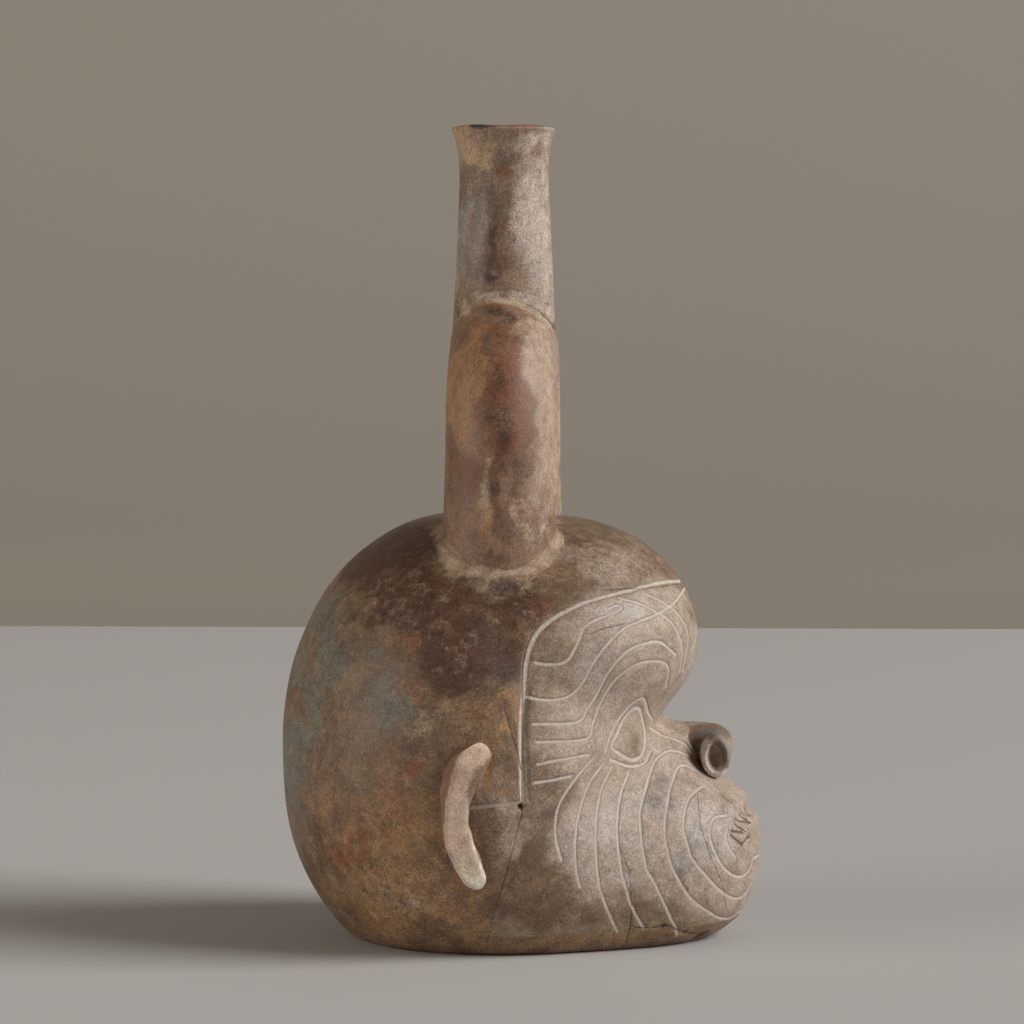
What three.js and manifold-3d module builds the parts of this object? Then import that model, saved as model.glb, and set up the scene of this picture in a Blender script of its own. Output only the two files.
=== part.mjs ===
// Stirrup-spout bottle in the form of a monkey's head, hand-built from separately formed clay pieces.
// Millimetres, +Z up, +X the way the face looks, +Y the animal's left.
// The origin lies on the resting face, under the axis of the spout.
import * as THREE from "three";
import { ParametricGeometry } from "three/addons/geometries/ParametricGeometry.js";
import { mergeVertices } from "three/addons/utils/BufferGeometryUtils.js";
import Module from "manifold-3d";

const wasm = await Module();
wasm.setup();

// The line of slip that stays between two luted pieces.
const SLIP_GAP = 0.3;

// The head is five swelling lobes on the mid-plane that run into each other. The last carries the root of the nose.
// x and z place a lobe's centre. reach and side are the half-sizes of its oval plan, up and down its half-heights,
// and the two powers square off its upper and lower halves: 2 is a plain ellipse.
const CRANIUM = { x: -10, z: 57, reach: 56, side: 65, up: 69, down: 67, upperPower: 2.1, lowerPower: 2.4 };
const BROW = { x: 14, z: 88, reach: 44, side: 54, up: 37, down: 31, upperPower: 2, lowerPower: 2 };
const JAW = { x: 2, z: 30, reach: 52, side: 57, up: 30, down: 43, upperPower: 2, lowerPower: 2.4 };
const MUZZLE = { x: 20, z: 30, reach: 56.5, side: 44, up: 25.5, down: 43, upperPower: 2.4, lowerPower: 2.4 };
const SNOUT = { x: 41, z: 49, reach: 15.5, side: 24, up: 13, down: 14, upperPower: 3, lowerPower: 2 };
const LOBE_BLEND = 7;
const HEAD_WALL = 5.5;
const BASE_THICKNESS = 6;

// The face is a mask let into the front of the head. Its edge leans back at the foot,
// rises behind the cheek, turns a round corner at the temple and runs forward over the brow.
const MASK_FOOT_X = -2;
const MASK_BACK_X = 8;
const MASK_LEAN_Z = 43;
const MASK_TOP_Z = 105;
const MASK_CORNER_R = 22;

// The mouth slit is highest at the front and falls to a corner on each side.
const MOUTH_Z = 40;
const MOUTH_DROP = 8.5;
const MOUTH_HALF_SPAN = 24;
const MOUTH_R = 1.3;

// Each eye is a groove round a tall three-cornered outline, given by its place and half-sizes seen from the side.
const EYE_X = 37.5;
const EYE_Z = 64;
const EYE_HALF_LENGTH = 5.4;
const EYE_HALF_HEIGHT = 8;
const EYE_LEAN = 2.6;
const EYE_TAPER = 0.45;
const EYE_GROOVE_R = 0.9;

// Each ear is a crescent strip, seen from the side as an upright bow that opens to the front.
// It is bowed most below its middle.
const EAR_X = -4;
const EAR_Z = 42.6;
const EAR_HALF_HEIGHT = 20.8;
const EAR_BOW = 6.2;
const EAR_SAG = 0.35;
const EAR_WIDTH = 7.6;
const EAR_STAND = 6.5;
const EAR_SQUARENESS = 0.7;
const EAR_BLUNTNESS = 6;

// The nose is a ridge that ends in two swollen nostrils, each pierced by a blind pit.
const NOSE_X = 55.5;
const NOSE_Z = 58;
const NOSE_RIDGE = { length: 12, side: 8.5, height: 5.5 };
const NOSTRIL_SPREAD = 8;
const NOSTRIL_FORWARD = 7;
const NOSTRIL_DROP = 4;
const NOSTRIL = { length: 4.1, side: 5, height: 6.4 };
const NOSTRIL_PIT = { length: 2.3, side: 5, height: 4.2 };

// The stirrup is two bent tubes that stand on the crown and meet under the spout.
const LEG_R = 16;
const LEG_BORE_R = 10.5;
const STIRRUP_SPAN = 58;
const LEG_RISE = 19.5;
const COLLAR_FOOT = 3.6;
const COLLAR_HEIGHT = 4.5;
const COLLAR_EDGE = 0.8;

// The spout narrows upwards and flares to a rounded lip.
const SPOUT_RISE = 49.5;
const SPOUT_FOOT_R = 15.2;
const SPOUT_NECK_R = 13.4;
const SPOUT_RIM_R = 15.4;
const SPOUT_BORE_R = 9.8;
const SPOUT_FLARE = 16;
const LIP_WALL = 2.8;
const LIP_ROUND = 1.2;
const FILLET_FOOT = 3.4;
const FILLET_HEIGHT = 3.6;
const FILLET_EDGE = 0.8;
const FILLET_HALF_ANGLE = THREE.MathUtils.degToRad(62);

// Facets
const HEAD_COLUMNS = 50;
const HEAD_ROWS = 34;
const CHAMBER_COLUMNS = 30;
const CHAMBER_ROWS = 20;
const FRONT_CROWDING = 0.45;
const TUBE_SIDES = 24;
const RING_SIDES = 28;
const LUTING_STEPS = 4;
const FILLET_STEPS = 16;
const CURVE_STEPS = 4;
const GROOVE_SIDES = 6;
const MOUTH_STEPS = 20;
const EYE_STEPS = 18;
const EAR_COLUMNS = 14;
const EAR_ROWS = 16;
const BALL_COLUMNS = 16;
const BALL_ROWS = 10;
const STRAIGHT_STEPS = 8;
const STEPS_PER_RADIAN = 7;

const UP = new THREE.Vector3(0, 0, 1);
const LEFT = new THREE.Vector3(0, 1, 0);
const FORWARD = new THREE.Vector3(1, 0, 0);
const FAR = 200;

// Solids

// A closed geometry as a solid: shared vertices merged, and the faces that shrink to a line at a pole left out.
function solidOf(geometry) {
  const bare = geometry.clone();
  bare.deleteAttribute("normal");
  bare.deleteAttribute("uv");
  const merged = mergeVertices(bare);
  const corners = merged.index.array;
  const kept = [];
  for (let i = 0; i < corners.length; i += 3) {
    const [a, b, c] = corners.subarray(i, i + 3);
    if (a !== b && b !== c && c !== a) kept.push(a, b, c);
  }
  const vertProperties = merged.attributes.position.array;
  return new wasm.Manifold(new wasm.Mesh({ numProp: 3, vertProperties, triVerts: new Uint32Array(kept) }));
}

function geometryOf(solid) {
  const { vertProperties, triVerts } = solid.getMesh();
  const geometry = new THREE.BufferGeometry();
  geometry.setAttribute("position", new THREE.BufferAttribute(vertProperties, 3));
  geometry.setIndex(new THREE.BufferAttribute(triVerts, 1));
  geometry.computeVertexNormals();
  return geometry;
}

// A closed surface from a function of u, round it, and v, along it. u wraps, so its last column is its first.
function closedSurface(pointAt, columns, rows) {
  const place = (u, v, target) => target.copy(pointAt(u % 1, v));
  return solidOf(new ParametricGeometry(place, columns, rows));
}

function ellipsoid({ length, side, height }, centre) {
  const ball = new THREE.SphereGeometry(1, BALL_COLUMNS, BALL_ROWS);
  return solidOf(ball.scale(length, side, height).translate(centre.x, centre.y, centre.z));
}

// An upright round bar from one height to another.
function uprightBar(radius, x, y, from, to) {
  const bar = new THREE.CylinderGeometry(radius, radius, to - from, TUBE_SIDES);
  return solidOf(bar.rotateX(Math.PI / 2).translate(x, y, (from + to) / 2));
}

// Everything between two heights.
function layer(from, to) {
  return solidOf(new THREE.BoxGeometry(2 * FAR, 2 * FAR, to - from).translate(0, 0, (from + to) / 2));
}

// The form of the head

// How far a point lies outside one lobe, along the line from the lobe's centre. Negative is inside.
function lobeLevel(lobe, point) {
  const dx = point.x - lobe.x;
  const dz = point.z - lobe.z;
  const power = dz > 0 ? lobe.upperPower : lobe.lowerPower;
  const plan = Math.hypot(dx / lobe.reach, point.y / lobe.side);
  const rise = Math.abs(dz) / (dz > 0 ? lobe.up : lobe.down);
  const share = (plan ** power + rise ** power) ** (1 / power);
  return Math.hypot(dx, point.y, dz) * (1 - 1 / share);
}

// The lesser of two levels, with the crease between them filled over the blend's width.
function blend(a, b) {
  const near = Math.max(LOBE_BLEND - Math.abs(a - b), 0);
  return Math.min(a, b) - (near * near) / (4 * LOBE_BLEND);
}

function headLevel(point) {
  const swellings = [BROW, JAW, MUZZLE, SNOUT];
  return swellings.reduce((level, lobe) => blend(level, lobeLevel(lobe, point)), lobeLevel(CRANIUM, point));
}

// Where a line from a point inside the head comes out through the skin, or through a skin offset from it.
function skinAlong(from, direction, offset = 0) {
  const halvings = 40;
  const probe = new THREE.Vector3();
  let inside = 0;
  let outside = FAR;
  for (let i = 0; i < halvings; i += 1) {
    const middle = (inside + outside) / 2;
    if (headLevel(probe.copy(direction).multiplyScalar(middle).add(from)) < offset) inside = middle;
    else outside = middle;
  }
  return probe.copy(direction).multiplyScalar(inside).add(from);
}

const CORE = new THREE.Vector3(0, 0, 60);

const skinAbove = (x, y, offset) => skinAlong(new THREE.Vector3(x, y, CORE.z), UP, offset);
const skinBeside = (side, x, z) => skinAlong(new THREE.Vector3(x, 0, z), new THREE.Vector3(0, side, 0));
const skinAhead = (y, z) => skinAlong(new THREE.Vector3(MUZZLE.x, y, z), FORWARD);

// The outward direction at a point on the skin.
function skinNormal(point) {
  const step = 0.01;
  const slope = (axis) => headLevel(point.clone().addScaledVector(axis, step)) - headLevel(point);
  return new THREE.Vector3(slope(FORWARD), slope(LEFT), slope(UP)).normalize();
}

// The whole head as a solid, with its skin moved out by an offset. Columns crowd together at the face.
function headSolid(offset, columns, rows) {
  return closedSurface(
    (u, v) => {
      const turn = 2 * Math.PI * u - FRONT_CROWDING * Math.sin(2 * Math.PI * u);
      const lift = Math.PI * (v - 0.5);
      const level = Math.cos(lift);
      const away = new THREE.Vector3(level * Math.cos(turn), level * Math.sin(turn), Math.sin(lift));
      return skinAlong(CORE, away, offset);
    },
    columns,
    rows,
  );
}

const headOuter = headSolid(0, HEAD_COLUMNS, HEAD_ROWS);
const headClear = headSolid(SLIP_GAP, HEAD_COLUMNS, HEAD_ROWS);
const headChamber = headSolid(-HEAD_WALL, CHAMBER_COLUMNS, CHAMBER_ROWS);

// The head's pieces

// The block in front of the mask's edge, grown on its hidden side by a clearance.
function maskBlock(clearance) {
  const back = MASK_BACK_X - clearance;
  const top = MASK_TOP_Z + clearance;
  const corner = MASK_CORNER_R + clearance;
  const lean = (MASK_BACK_X - MASK_FOOT_X) / (MASK_LEAN_Z - BASE_THICKNESS);
  const outline = new THREE.Shape();
  outline.moveTo(back - lean * (MASK_LEAN_Z + FAR), -FAR);
  outline.lineTo(back, MASK_LEAN_Z);
  outline.lineTo(back, top - corner);
  outline.absarc(back + corner, top - corner, corner, Math.PI, Math.PI / 2, true);
  outline.lineTo(FAR, top);
  outline.lineTo(FAR, -FAR);
  const options = { depth: 2 * FAR, bevelEnabled: false, curveSegments: CURVE_STEPS };
  const block = new THREE.ExtrudeGeometry(outline, options);
  return solidOf(block.translate(0, 0, -FAR).rotateX(Math.PI / 2));
}

function mouthSlit() {
  const points = [];
  for (let i = 0; i <= MOUTH_STEPS; i += 1) {
    const t = THREE.MathUtils.mapLinear(i, 0, MOUTH_STEPS, -1, 1);
    points.push(skinAhead(MOUTH_HALF_SPAN * t, MOUTH_Z - MOUTH_DROP * t * t));
  }
  const section = new THREE.Shape().absarc(0, 0, MOUTH_R, 0, 2 * Math.PI);
  const extrudePath = new THREE.CatmullRomCurve3(points);
  const options = { extrudePath, steps: MOUTH_STEPS, curveSegments: GROOVE_SIDES / 2 };
  return solidOf(new THREE.ExtrudeGeometry(section, options));
}

// A teardrop that leans forward, drawn on one side of the face.
function eyeGroove(side) {
  const points = [];
  for (let i = 0; i < EYE_STEPS; i += 1) {
    const turn = (2 * Math.PI * i) / EYE_STEPS;
    const rise = Math.sin(turn);
    const width = EYE_HALF_LENGTH * (1 - EYE_TAPER * rise);
    const x = EYE_X + width * Math.cos(turn) + EYE_LEAN * rise;
    points.push(skinBeside(side, x, EYE_Z + EYE_HALF_HEIGHT * rise));
  }
  const path = new THREE.CatmullRomCurve3(points, true);
  return solidOf(new THREE.TubeGeometry(path, 2 * EYE_STEPS, EYE_GROOVE_R, GROOVE_SIDES, true));
}

const shell = headOuter.subtract(headChamber).intersect(layer(BASE_THICKNESS + SLIP_GAP, FAR));
const legY = STIRRUP_SPAN / 2;
const crownHole = (y) => uprightBar(LEG_BORE_R, 0, y, CORE.z, FAR);

function baseSlab() {
  return headOuter.intersect(layer(0, BASE_THICKNESS));
}

function craniumShell() {
  return shell.subtract(maskBlock(SLIP_GAP)).subtract(crownHole(legY)).subtract(crownHole(-legY));
}

function faceMask() {
  return shell.intersect(maskBlock(0)).subtract(mouthSlit()).subtract(eyeGroove(-1)).subtract(eyeGroove(1));
}

// The right ear: a strip of squared section along a bow on the side of the head, trimmed to sit on the skin.
function rightEar() {
  const centreAt = (v) => {
    const rise = 2 * v - 1;
    const bow = EAR_BOW * (1 - rise * rise) * (1 - EAR_SAG * rise);
    return skinBeside(-1, EAR_X - bow, EAR_Z + EAR_HALF_HEIGHT * rise);
  };
  const strip = closedSurface(
    (u, v) => {
      const step = 0.01;
      const centre = centreAt(v);
      const along = centreAt(v + step).sub(centreAt(v - step)).normalize();
      const outward = skinNormal(centre);
      const across = outward.clone().cross(along).normalize();
      const size = Math.sqrt(1 - Math.abs(2 * v - 1) ** EAR_BLUNTNESS);
      const cos = Math.cos(2 * Math.PI * u);
      const sin = Math.sin(2 * Math.PI * u);
      return centre
        .addScaledVector(across, (size * EAR_WIDTH * Math.sign(cos) * Math.abs(cos) ** EAR_SQUARENESS) / 2)
        .addScaledVector(outward, size * EAR_STAND * Math.sign(sin) * Math.abs(sin) ** EAR_SQUARENESS);
    },
    EAR_COLUMNS,
    EAR_ROWS,
  );
  return strip.subtract(headClear);
}

function nose() {
  const nostrilAt = (side) =>
    new THREE.Vector3(NOSE_X + NOSTRIL_FORWARD, side * NOSTRIL_SPREAD, NOSE_Z - NOSTRIL_DROP);
  let body = ellipsoid(NOSE_RIDGE, new THREE.Vector3(NOSE_X, 0, NOSE_Z));
  for (const side of [-1, 1]) body = body.add(ellipsoid(NOSTRIL, nostrilAt(side)));
  for (const side of [-1, 1]) {
    const mouth = nostrilAt(side).add(new THREE.Vector3(0, side * NOSTRIL.side, 0));
    body = body.subtract(ellipsoid(NOSTRIL_PIT, mouth));
  }
  return body.subtract(headClear);
}

// The stirrup and spout

const crownZ = skinAbove(0, 0).z;
const archZ = crownZ + LEG_RISE;
const archTopZ = archZ + legY + LEG_R;
const rimZ = archTopZ + SPOUT_RISE;

// The middle of the stirrup's tube: straight up out of the right of the head, then round an arch by a given turn.
class StirrupLine extends THREE.Curve {
  constructor(turn) {
    super();
    this.turn = turn;
  }

  getPoint(t, target = new THREE.Vector3()) {
    const straight = archZ - CORE.z;
    const run = t * (straight + legY * this.turn);
    if (run < straight) return target.set(0, -legY, CORE.z + run);
    const turned = (run - straight) / legY;
    return target.set(0, -legY * Math.cos(turned), archZ + legY * Math.sin(turned));
  }
}

function stirrupTube(turn, radius, boreRadius) {
  const section = new THREE.Shape().absarc(0, 0, radius, 0, 2 * Math.PI);
  if (boreRadius) section.holes.push(new THREE.Path().absarc(0, 0, boreRadius, 0, 2 * Math.PI, true));
  const extrudePath = new StirrupLine(turn);
  const steps = Math.round(STRAIGHT_STEPS + STEPS_PER_RADIAN * turn);
  return solidOf(new THREE.ExtrudeGeometry(section, { extrudePath, steps, curveSegments: TUBE_SIDES / 2 }));
}

// The right leg ends half a line of slip short of the mid-plane, and its end is opened under the spout.
function rightLeg() {
  const turn = Math.acos(SLIP_GAP / 2 / legY);
  const spoutHole = uprightBar(SPOUT_BORE_R, 0, 0, archZ + legY, FAR);
  return stirrupTube(turn, LEG_R, LEG_BORE_R).subtract(headClear).subtract(spoutHole);
}

// The section of a strip of luting clay in an inside corner: along the floor to its foot, up its hollow face,
// and back down the wall. floor and wall are the clay's two contact lines, given from the corner outwards.
function lutingSection(floor, wall, edge) {
  const corner = floor[0];
  const foot = floor[floor.length - 1];
  const outward = foot.clone().sub(corner).normalize();
  const upward = wall.clone().sub(corner).normalize();
  const thick = (point, direction) => point.clone().addScaledVector(direction, edge);
  const hollow = thick(thick(corner, outward), upward);
  const face = new THREE.QuadraticBezierCurve3(thick(foot, upward), hollow, thick(wall, outward));
  return [...floor, ...face.getPoints(LUTING_STEPS), wall];
}

// A ring of luting clay round the foot of the right leg.
function rightCollar() {
  const section = (turn) => {
    const out = new THREE.Vector3(Math.cos(turn), Math.sin(turn), 0);
    const reach = LEG_R + SLIP_GAP;
    const onHead = (run) => skinAbove((reach + run) * out.x, (reach + run) * out.y - legY, SLIP_GAP);
    const floor = [onHead(0), onHead(COLLAR_FOOT / 2), onHead(COLLAR_FOOT)];
    return lutingSection(floor, floor[0].clone().addScaledVector(UP, COLLAR_HEIGHT), COLLAR_EDGE);
  };
  const count = section(0).length;
  return closedSurface((u, v) => section(2 * Math.PI * u)[Math.round(v * count) % count], RING_SIDES, count);
}

// The height of the top of the arch over a point of the plan.
function archAbove(x, y, offset) {
  const ridge = Math.sqrt(Math.max((LEG_R + offset) ** 2 - x * x, 0));
  return archZ + Math.sqrt((legY + ridge) ** 2 - y * y);
}

// A crescent of luting clay in the corner between the spout and the right of the arch, fading out at both ends.
function rightFillet() {
  const low = archZ + legY;
  const taper = (SPOUT_FOOT_R - SPOUT_NECK_R) / (rimZ - SPOUT_FLARE - low);
  const section = (v) => {
    const turn = FILLET_HALF_ANGLE * (1 - 2 * v);
    const size = Math.cos((Math.PI / 2) * (2 * v - 1));
    const out = new THREE.Vector3(Math.sin(turn), -Math.cos(turn), 0);
    const onArch = (radius) => {
      const point = out.clone().multiplyScalar(radius);
      return point.setZ(archAbove(point.x, point.y, SLIP_GAP));
    };
    const inner = SPOUT_FOOT_R + SLIP_GAP - taper * (onArch(SPOUT_FOOT_R).z - low);
    const reach = size * FILLET_FOOT;
    const rise = size * FILLET_HEIGHT;
    const floor = [onArch(inner), onArch(inner + reach / 2), onArch(inner + reach)];
    const wall = floor[0].clone().addScaledVector(UP, rise).addScaledVector(out, -taper * rise);
    return lutingSection(floor, wall, size * FILLET_EDGE);
  };
  const count = section(0.5).length;
  return closedSurface((u, v) => section(v)[Math.round(u * count) % count], count, FILLET_STEPS);
}

// The spout as a turned profile, open at both ends, its foot cut to a saddle over the arch.
function spout() {
  const low = archZ + legY;
  const profile = new THREE.Path();
  profile.moveTo(SPOUT_BORE_R, low);
  profile.lineTo(SPOUT_FOOT_R, low);
  profile.lineTo(SPOUT_NECK_R, rimZ - SPOUT_FLARE);
  profile.quadraticCurveTo(SPOUT_NECK_R, rimZ - SPOUT_FLARE / 3, SPOUT_RIM_R, rimZ - LIP_ROUND);
  profile.quadraticCurveTo(SPOUT_RIM_R, rimZ, SPOUT_RIM_R - LIP_ROUND, rimZ);
  profile.lineTo(SPOUT_RIM_R - LIP_WALL, rimZ);
  profile.quadraticCurveTo(SPOUT_BORE_R, rimZ - LIP_WALL, SPOUT_BORE_R, rimZ - SPOUT_FLARE);
  profile.lineTo(SPOUT_BORE_R, low);
  const turned = new THREE.LatheGeometry(profile.getPoints(CURVE_STEPS), RING_SIDES).rotateX(Math.PI / 2);
  return solidOf(turned).subtract(stirrupTube(Math.PI, LEG_R + SLIP_GAP));
}

// The assembly

const BROWN_SLIP = { color: 0x7a5a45, roughness: 0.5 };
const FACE_SLIP = { color: 0x8c6a52, roughness: 0.55 };
const PALE_SLIP = { color: 0xb99a84, roughness: 0.7 };
const SPOUT_SLIP = { color: 0x86664e, roughness: 0.5 };
const LUTING_CLAY = { color: 0xa58a72, roughness: 0.8 };
const BARE_CLAY = { color: 0x8a6b55, roughness: 0.85 };

function piece(parent, name, solid, finish) {
  const material = new THREE.MeshStandardMaterial({ ...finish, metalness: 0 });
  const mesh = new THREE.Mesh(geometryOf(solid), material);
  mesh.name = name;
  parent.add(mesh);
  return mesh;
}

// A right-hand piece and its mirror twin across the mid-plane.
function pair(parent, name, solid, finish) {
  piece(parent, `right_${name}`, solid, finish);
  piece(parent, `left_${name}`, solid, finish).scale.y = -1;
}

const head = new THREE.Group();
head.name = "head";
piece(head, "base_slab", baseSlab(), BARE_CLAY);
piece(head, "cranium_shell", craniumShell(), BROWN_SLIP);
piece(head, "face_mask", faceMask(), FACE_SLIP);
piece(head, "nose", nose(), FACE_SLIP);
pair(head, "ear", rightEar(), PALE_SLIP);

const stirrup = new THREE.Group();
stirrup.name = "stirrup";
pair(stirrup, "stirrup_leg", rightLeg(), BROWN_SLIP);
pair(stirrup, "leg_collar", rightCollar(), LUTING_CLAY);
piece(stirrup, "spout", spout(), SPOUT_SLIP);
pair(stirrup, "spout_fillet", rightFillet(), LUTING_CLAY);

const bottle = new THREE.Group();
bottle.name = "monkey_head_bottle";
bottle.add(head, stirrup);

export default bottle;
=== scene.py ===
"""Stirrup-spout bottle in the form of a monkey's head: burnished, incised earthenware on its CAD frame."""

import logging
from collections.abc import Callable
from dataclasses import dataclass, field, replace
from enum import Enum
from typing import ClassVar

import bmesh
import bpy
import numpy as np
from bpy.types import Material, Node, NodeSocket, NodeTree
from mathutils import Matrix, Vector
from numpy.typing import ArrayLike


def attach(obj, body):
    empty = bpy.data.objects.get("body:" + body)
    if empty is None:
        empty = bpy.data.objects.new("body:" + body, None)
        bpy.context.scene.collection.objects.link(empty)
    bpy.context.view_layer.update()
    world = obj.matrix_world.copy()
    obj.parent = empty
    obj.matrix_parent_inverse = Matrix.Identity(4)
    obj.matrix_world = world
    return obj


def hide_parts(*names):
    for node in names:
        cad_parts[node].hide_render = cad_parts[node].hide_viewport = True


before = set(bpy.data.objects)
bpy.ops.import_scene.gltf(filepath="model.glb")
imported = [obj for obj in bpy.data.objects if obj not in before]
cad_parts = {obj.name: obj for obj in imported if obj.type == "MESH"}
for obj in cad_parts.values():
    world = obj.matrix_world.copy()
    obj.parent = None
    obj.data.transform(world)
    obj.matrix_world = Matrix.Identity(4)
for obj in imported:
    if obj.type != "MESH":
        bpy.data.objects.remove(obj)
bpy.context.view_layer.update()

LOG = logging.getLogger("monkey_head_bottle")
MM = 0.001
Array = np.ndarray
Marks = dict[str, Array]
Faces = list[list[int]]
Pixel = tuple[float, float]
Triple = tuple[float, float, float]


class Tone(Enum):
    """What colours a patch of the slip."""

    GREY = "grey"
    OCHRE = "ochre"
    RED = "red"
    CREAM = "cream"
    TAN = "tan"
    WASH_AND_LIGHT = "wash_and_light"
    SOOT_AND_SHADE = "soot_and_shade"


def linear(hex_colour: str) -> tuple[float, float, float, float]:
    """Turns an sRGB hex colour to linear light.

    Args:
        hex_colour: Colour as "#rrggbb".

    Returns:
        Linear red, green and blue, with full opacity.
    """
    channels = [int(hex_colour[i : i + 2], 16) / 255 for i in (1, 3, 5)]
    red, green, blue = (c / 12.92 if c <= 0.04045 else ((c + 0.055) / 1.055) ** 2.4 for c in channels)
    return red, green, blue, 1.0


def per_mm(size: float) -> float:
    """Scale of a noise whose features are this many millimetres across, in a scene of metres."""
    return 1 / (size * MM)


def add(tree: NodeTree, kind: str, inputs: dict | None = None, **settings: object) -> Node:
    """Adds a node with its settings and links.

    Args:
        tree: Node tree that takes the node.
        kind: Blender's name of the node type.
        inputs: Value or linked socket for each input, by name or number.
        **settings: Properties of the node.

    Returns:
        The new node.
    """
    node = tree.nodes.new(kind)
    for name, value in settings.items():
        setattr(node, name, value)
    for key, value in (inputs or {}).items():
        if isinstance(value, NodeSocket):
            tree.links.new(value, node.inputs[key])
        else:
            node.inputs[key].default_value = value
    return node


def unit(values: Array) -> Array:
    """Values cut off at 0 and 1."""
    return np.clip(values, 0, 1)


def full_turn(count: int) -> Array:
    """Equal turns round a circle."""
    return np.linspace(0, 2 * np.pi, count, endpoint=False)


def quadratic(start: ArrayLike, corner: ArrayLike, end: ArrayLike, t: Array) -> Array:
    """A curve from start to end, bent towards a corner: (1 - t)^2 start + 2 t (1 - t) corner + t^2 end."""
    return (1 - t) ** 2 * start + 2 * t * (1 - t) * corner + t**2 * end


def way_out(level: Callable[[Array], Array], start: Array, direction: Array, far: float, halvings: int) -> Array:
    """Where lines from inside a form come out of it, found by halving.

    Args:
        level: Gives the form's level at points, below zero inside.
        start: Points inside.
        direction: Unit directions.
        far: Distance that is outside on every line.
        halvings: How often the span in doubt is halved.

    Returns:
        Points on the form.
    """
    inside, outside = np.zeros(start.shape[:-1]), np.full(start.shape[:-1], far)
    for _ in range(halvings):
        middle = (inside + outside) / 2
        within = level(start + middle[..., None] * direction) < 0
        inside, outside = np.where(within, middle, inside), np.where(within, outside, middle)
    return start + inside[..., None] * direction


def smooth_min(a: Array, b: Array, width: float) -> Array:
    """The lesser of two levels, its crease filled: min(a, b) - max(width - |a - b|, 0)^2 / (4 width)."""
    return np.minimum(a, b) - np.maximum(width - np.abs(a - b), 0) ** 2 / (4 * width)


def smooth_curve(points: Array, steps: int = 6) -> Array:
    """A Catmull-Rom curve through points: each span is the cubic set by the two points before and after it.

    Args:
        points: Points of the line, one per row.
        steps: Equal steps that each span is cut into.

    Returns:
        Points of the smooth line.
    """
    ends = np.vstack([2 * points[0] - points[1], points, 2 * points[-1] - points[-2]])
    a, b, c, d = (ends[i : len(ends) - 3 + i, None, :] for i in range(4))
    t = np.linspace(0, 1, steps, endpoint=False)[None, :, None]
    spans = b + 0.5 * t * (c - a + t * (2 * a - 5 * b + 4 * c - d + t * (3 * b - a - 3 * c + d)))
    return np.vstack([spans.reshape(-1, points.shape[1]), points[-1:]])


def line_field(points: Array, outward: Array, line: Array, reach: float) -> tuple[Array, Array]:
    """How far points lie from a line on the skin, and on which side of it.

    The distance is the least over the line's straight spans. The side is the part of the offset from the nearest
    span that lies along the skin and square to the span.

    Args:
        points: Points, one per row.
        outward: Outward directions of the skin at the points.
        line: Corners of the line.
        reach: Greatest distance that matters.

    Returns:
        Distances cut off at reach, and sides, below zero on the right of the line.
    """
    gap, side = np.full((2, len(points)), reach)
    near = np.flatnonzero(np.all((points > line.min(0) - reach) & (points < line.max(0) + reach), axis=1))
    span = np.diff(line, axis=0)
    length = np.maximum(np.linalg.norm(span, axis=-1), 1e-6)
    offset = points[near][:, None, :] - line[:-1]
    share = unit((offset * span).sum(-1) / length**2)
    distance = np.linalg.norm(offset - share[..., None] * span, axis=-1)
    nearest, row = distance.argmin(1), np.arange(len(near))
    gap[near] = np.minimum(distance[row, nearest], reach)
    turned = np.cross(span[nearest] / length[nearest, None], offset[row, nearest])
    side[near] = (turned * outward[near]).sum(-1)
    return gap, side


def grid_index(points: Array) -> Array:
    """Vertex numbers of a grid of points, rows by columns."""
    return np.arange(points[..., 0].size).reshape(points.shape[:2])


def grid_faces(index: Array, close_rows: bool = False, close_columns: bool = False) -> Faces:
    """Quads between neighbouring entries of a grid of vertex numbers.

    Args:
        index: Vertex numbers, rows by columns.
        close_rows: Whether the last row joins the first.
        close_columns: Whether the last column joins the first.

    Returns:
        Corners of each quad.
    """
    if close_rows:
        index = np.vstack([index, index[:1]])
    if close_columns:
        index = np.hstack([index, index[:, :1]])
    quads = np.stack([index[:-1, :-1], index[:-1, 1:], index[1:, 1:], index[1:, :-1]], axis=-1)
    return quads.reshape(-1, 4).tolist()


def fan_faces(ring: Array, pole: int) -> Faces:
    """Triangles from a closed ring of vertices to one vertex."""
    return np.stack([ring, np.roll(ring, -1), np.full_like(ring, pole)], axis=-1).tolist()


def rim_faces(outer: list[int], inner: list[int], stride: int) -> Faces:
    """Faces of a wall's edge: each joins a run of fine outer vertices to one coarse inner span."""
    spans = range(len(inner) - 1)
    return [outer[i * stride : (i + 1) * stride + 1] + [inner[i + 1], inner[i]] for i in spans]


# Slow waves of a surface smoothed by hand: radians per millimetre along X, Y and Z, heights in millimetres, phases
UNEVEN_WAVES = np.array(
    [[0.11, 0.05, -0.07], [-0.06, 0.13, 0.09], [0.17, -0.08, 0.12], [0.05, 0.19, -0.16], [0.27, 0.21, 0.23]]
)
UNEVEN_HEIGHTS = np.array([0.1, 0.08, 0.06, 0.05, 0.03])
UNEVEN_PHASES = 1.7 * np.arange(5)


def unevenness(points: Array) -> Array:
    """The hand-made waver of a surface, in millimetres, never above zero."""
    return (np.sin(points @ UNEVEN_WAVES.T + UNEVEN_PHASES) * UNEVEN_HEIGHTS).sum(-1) - UNEVEN_HEIGHTS.sum()


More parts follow.
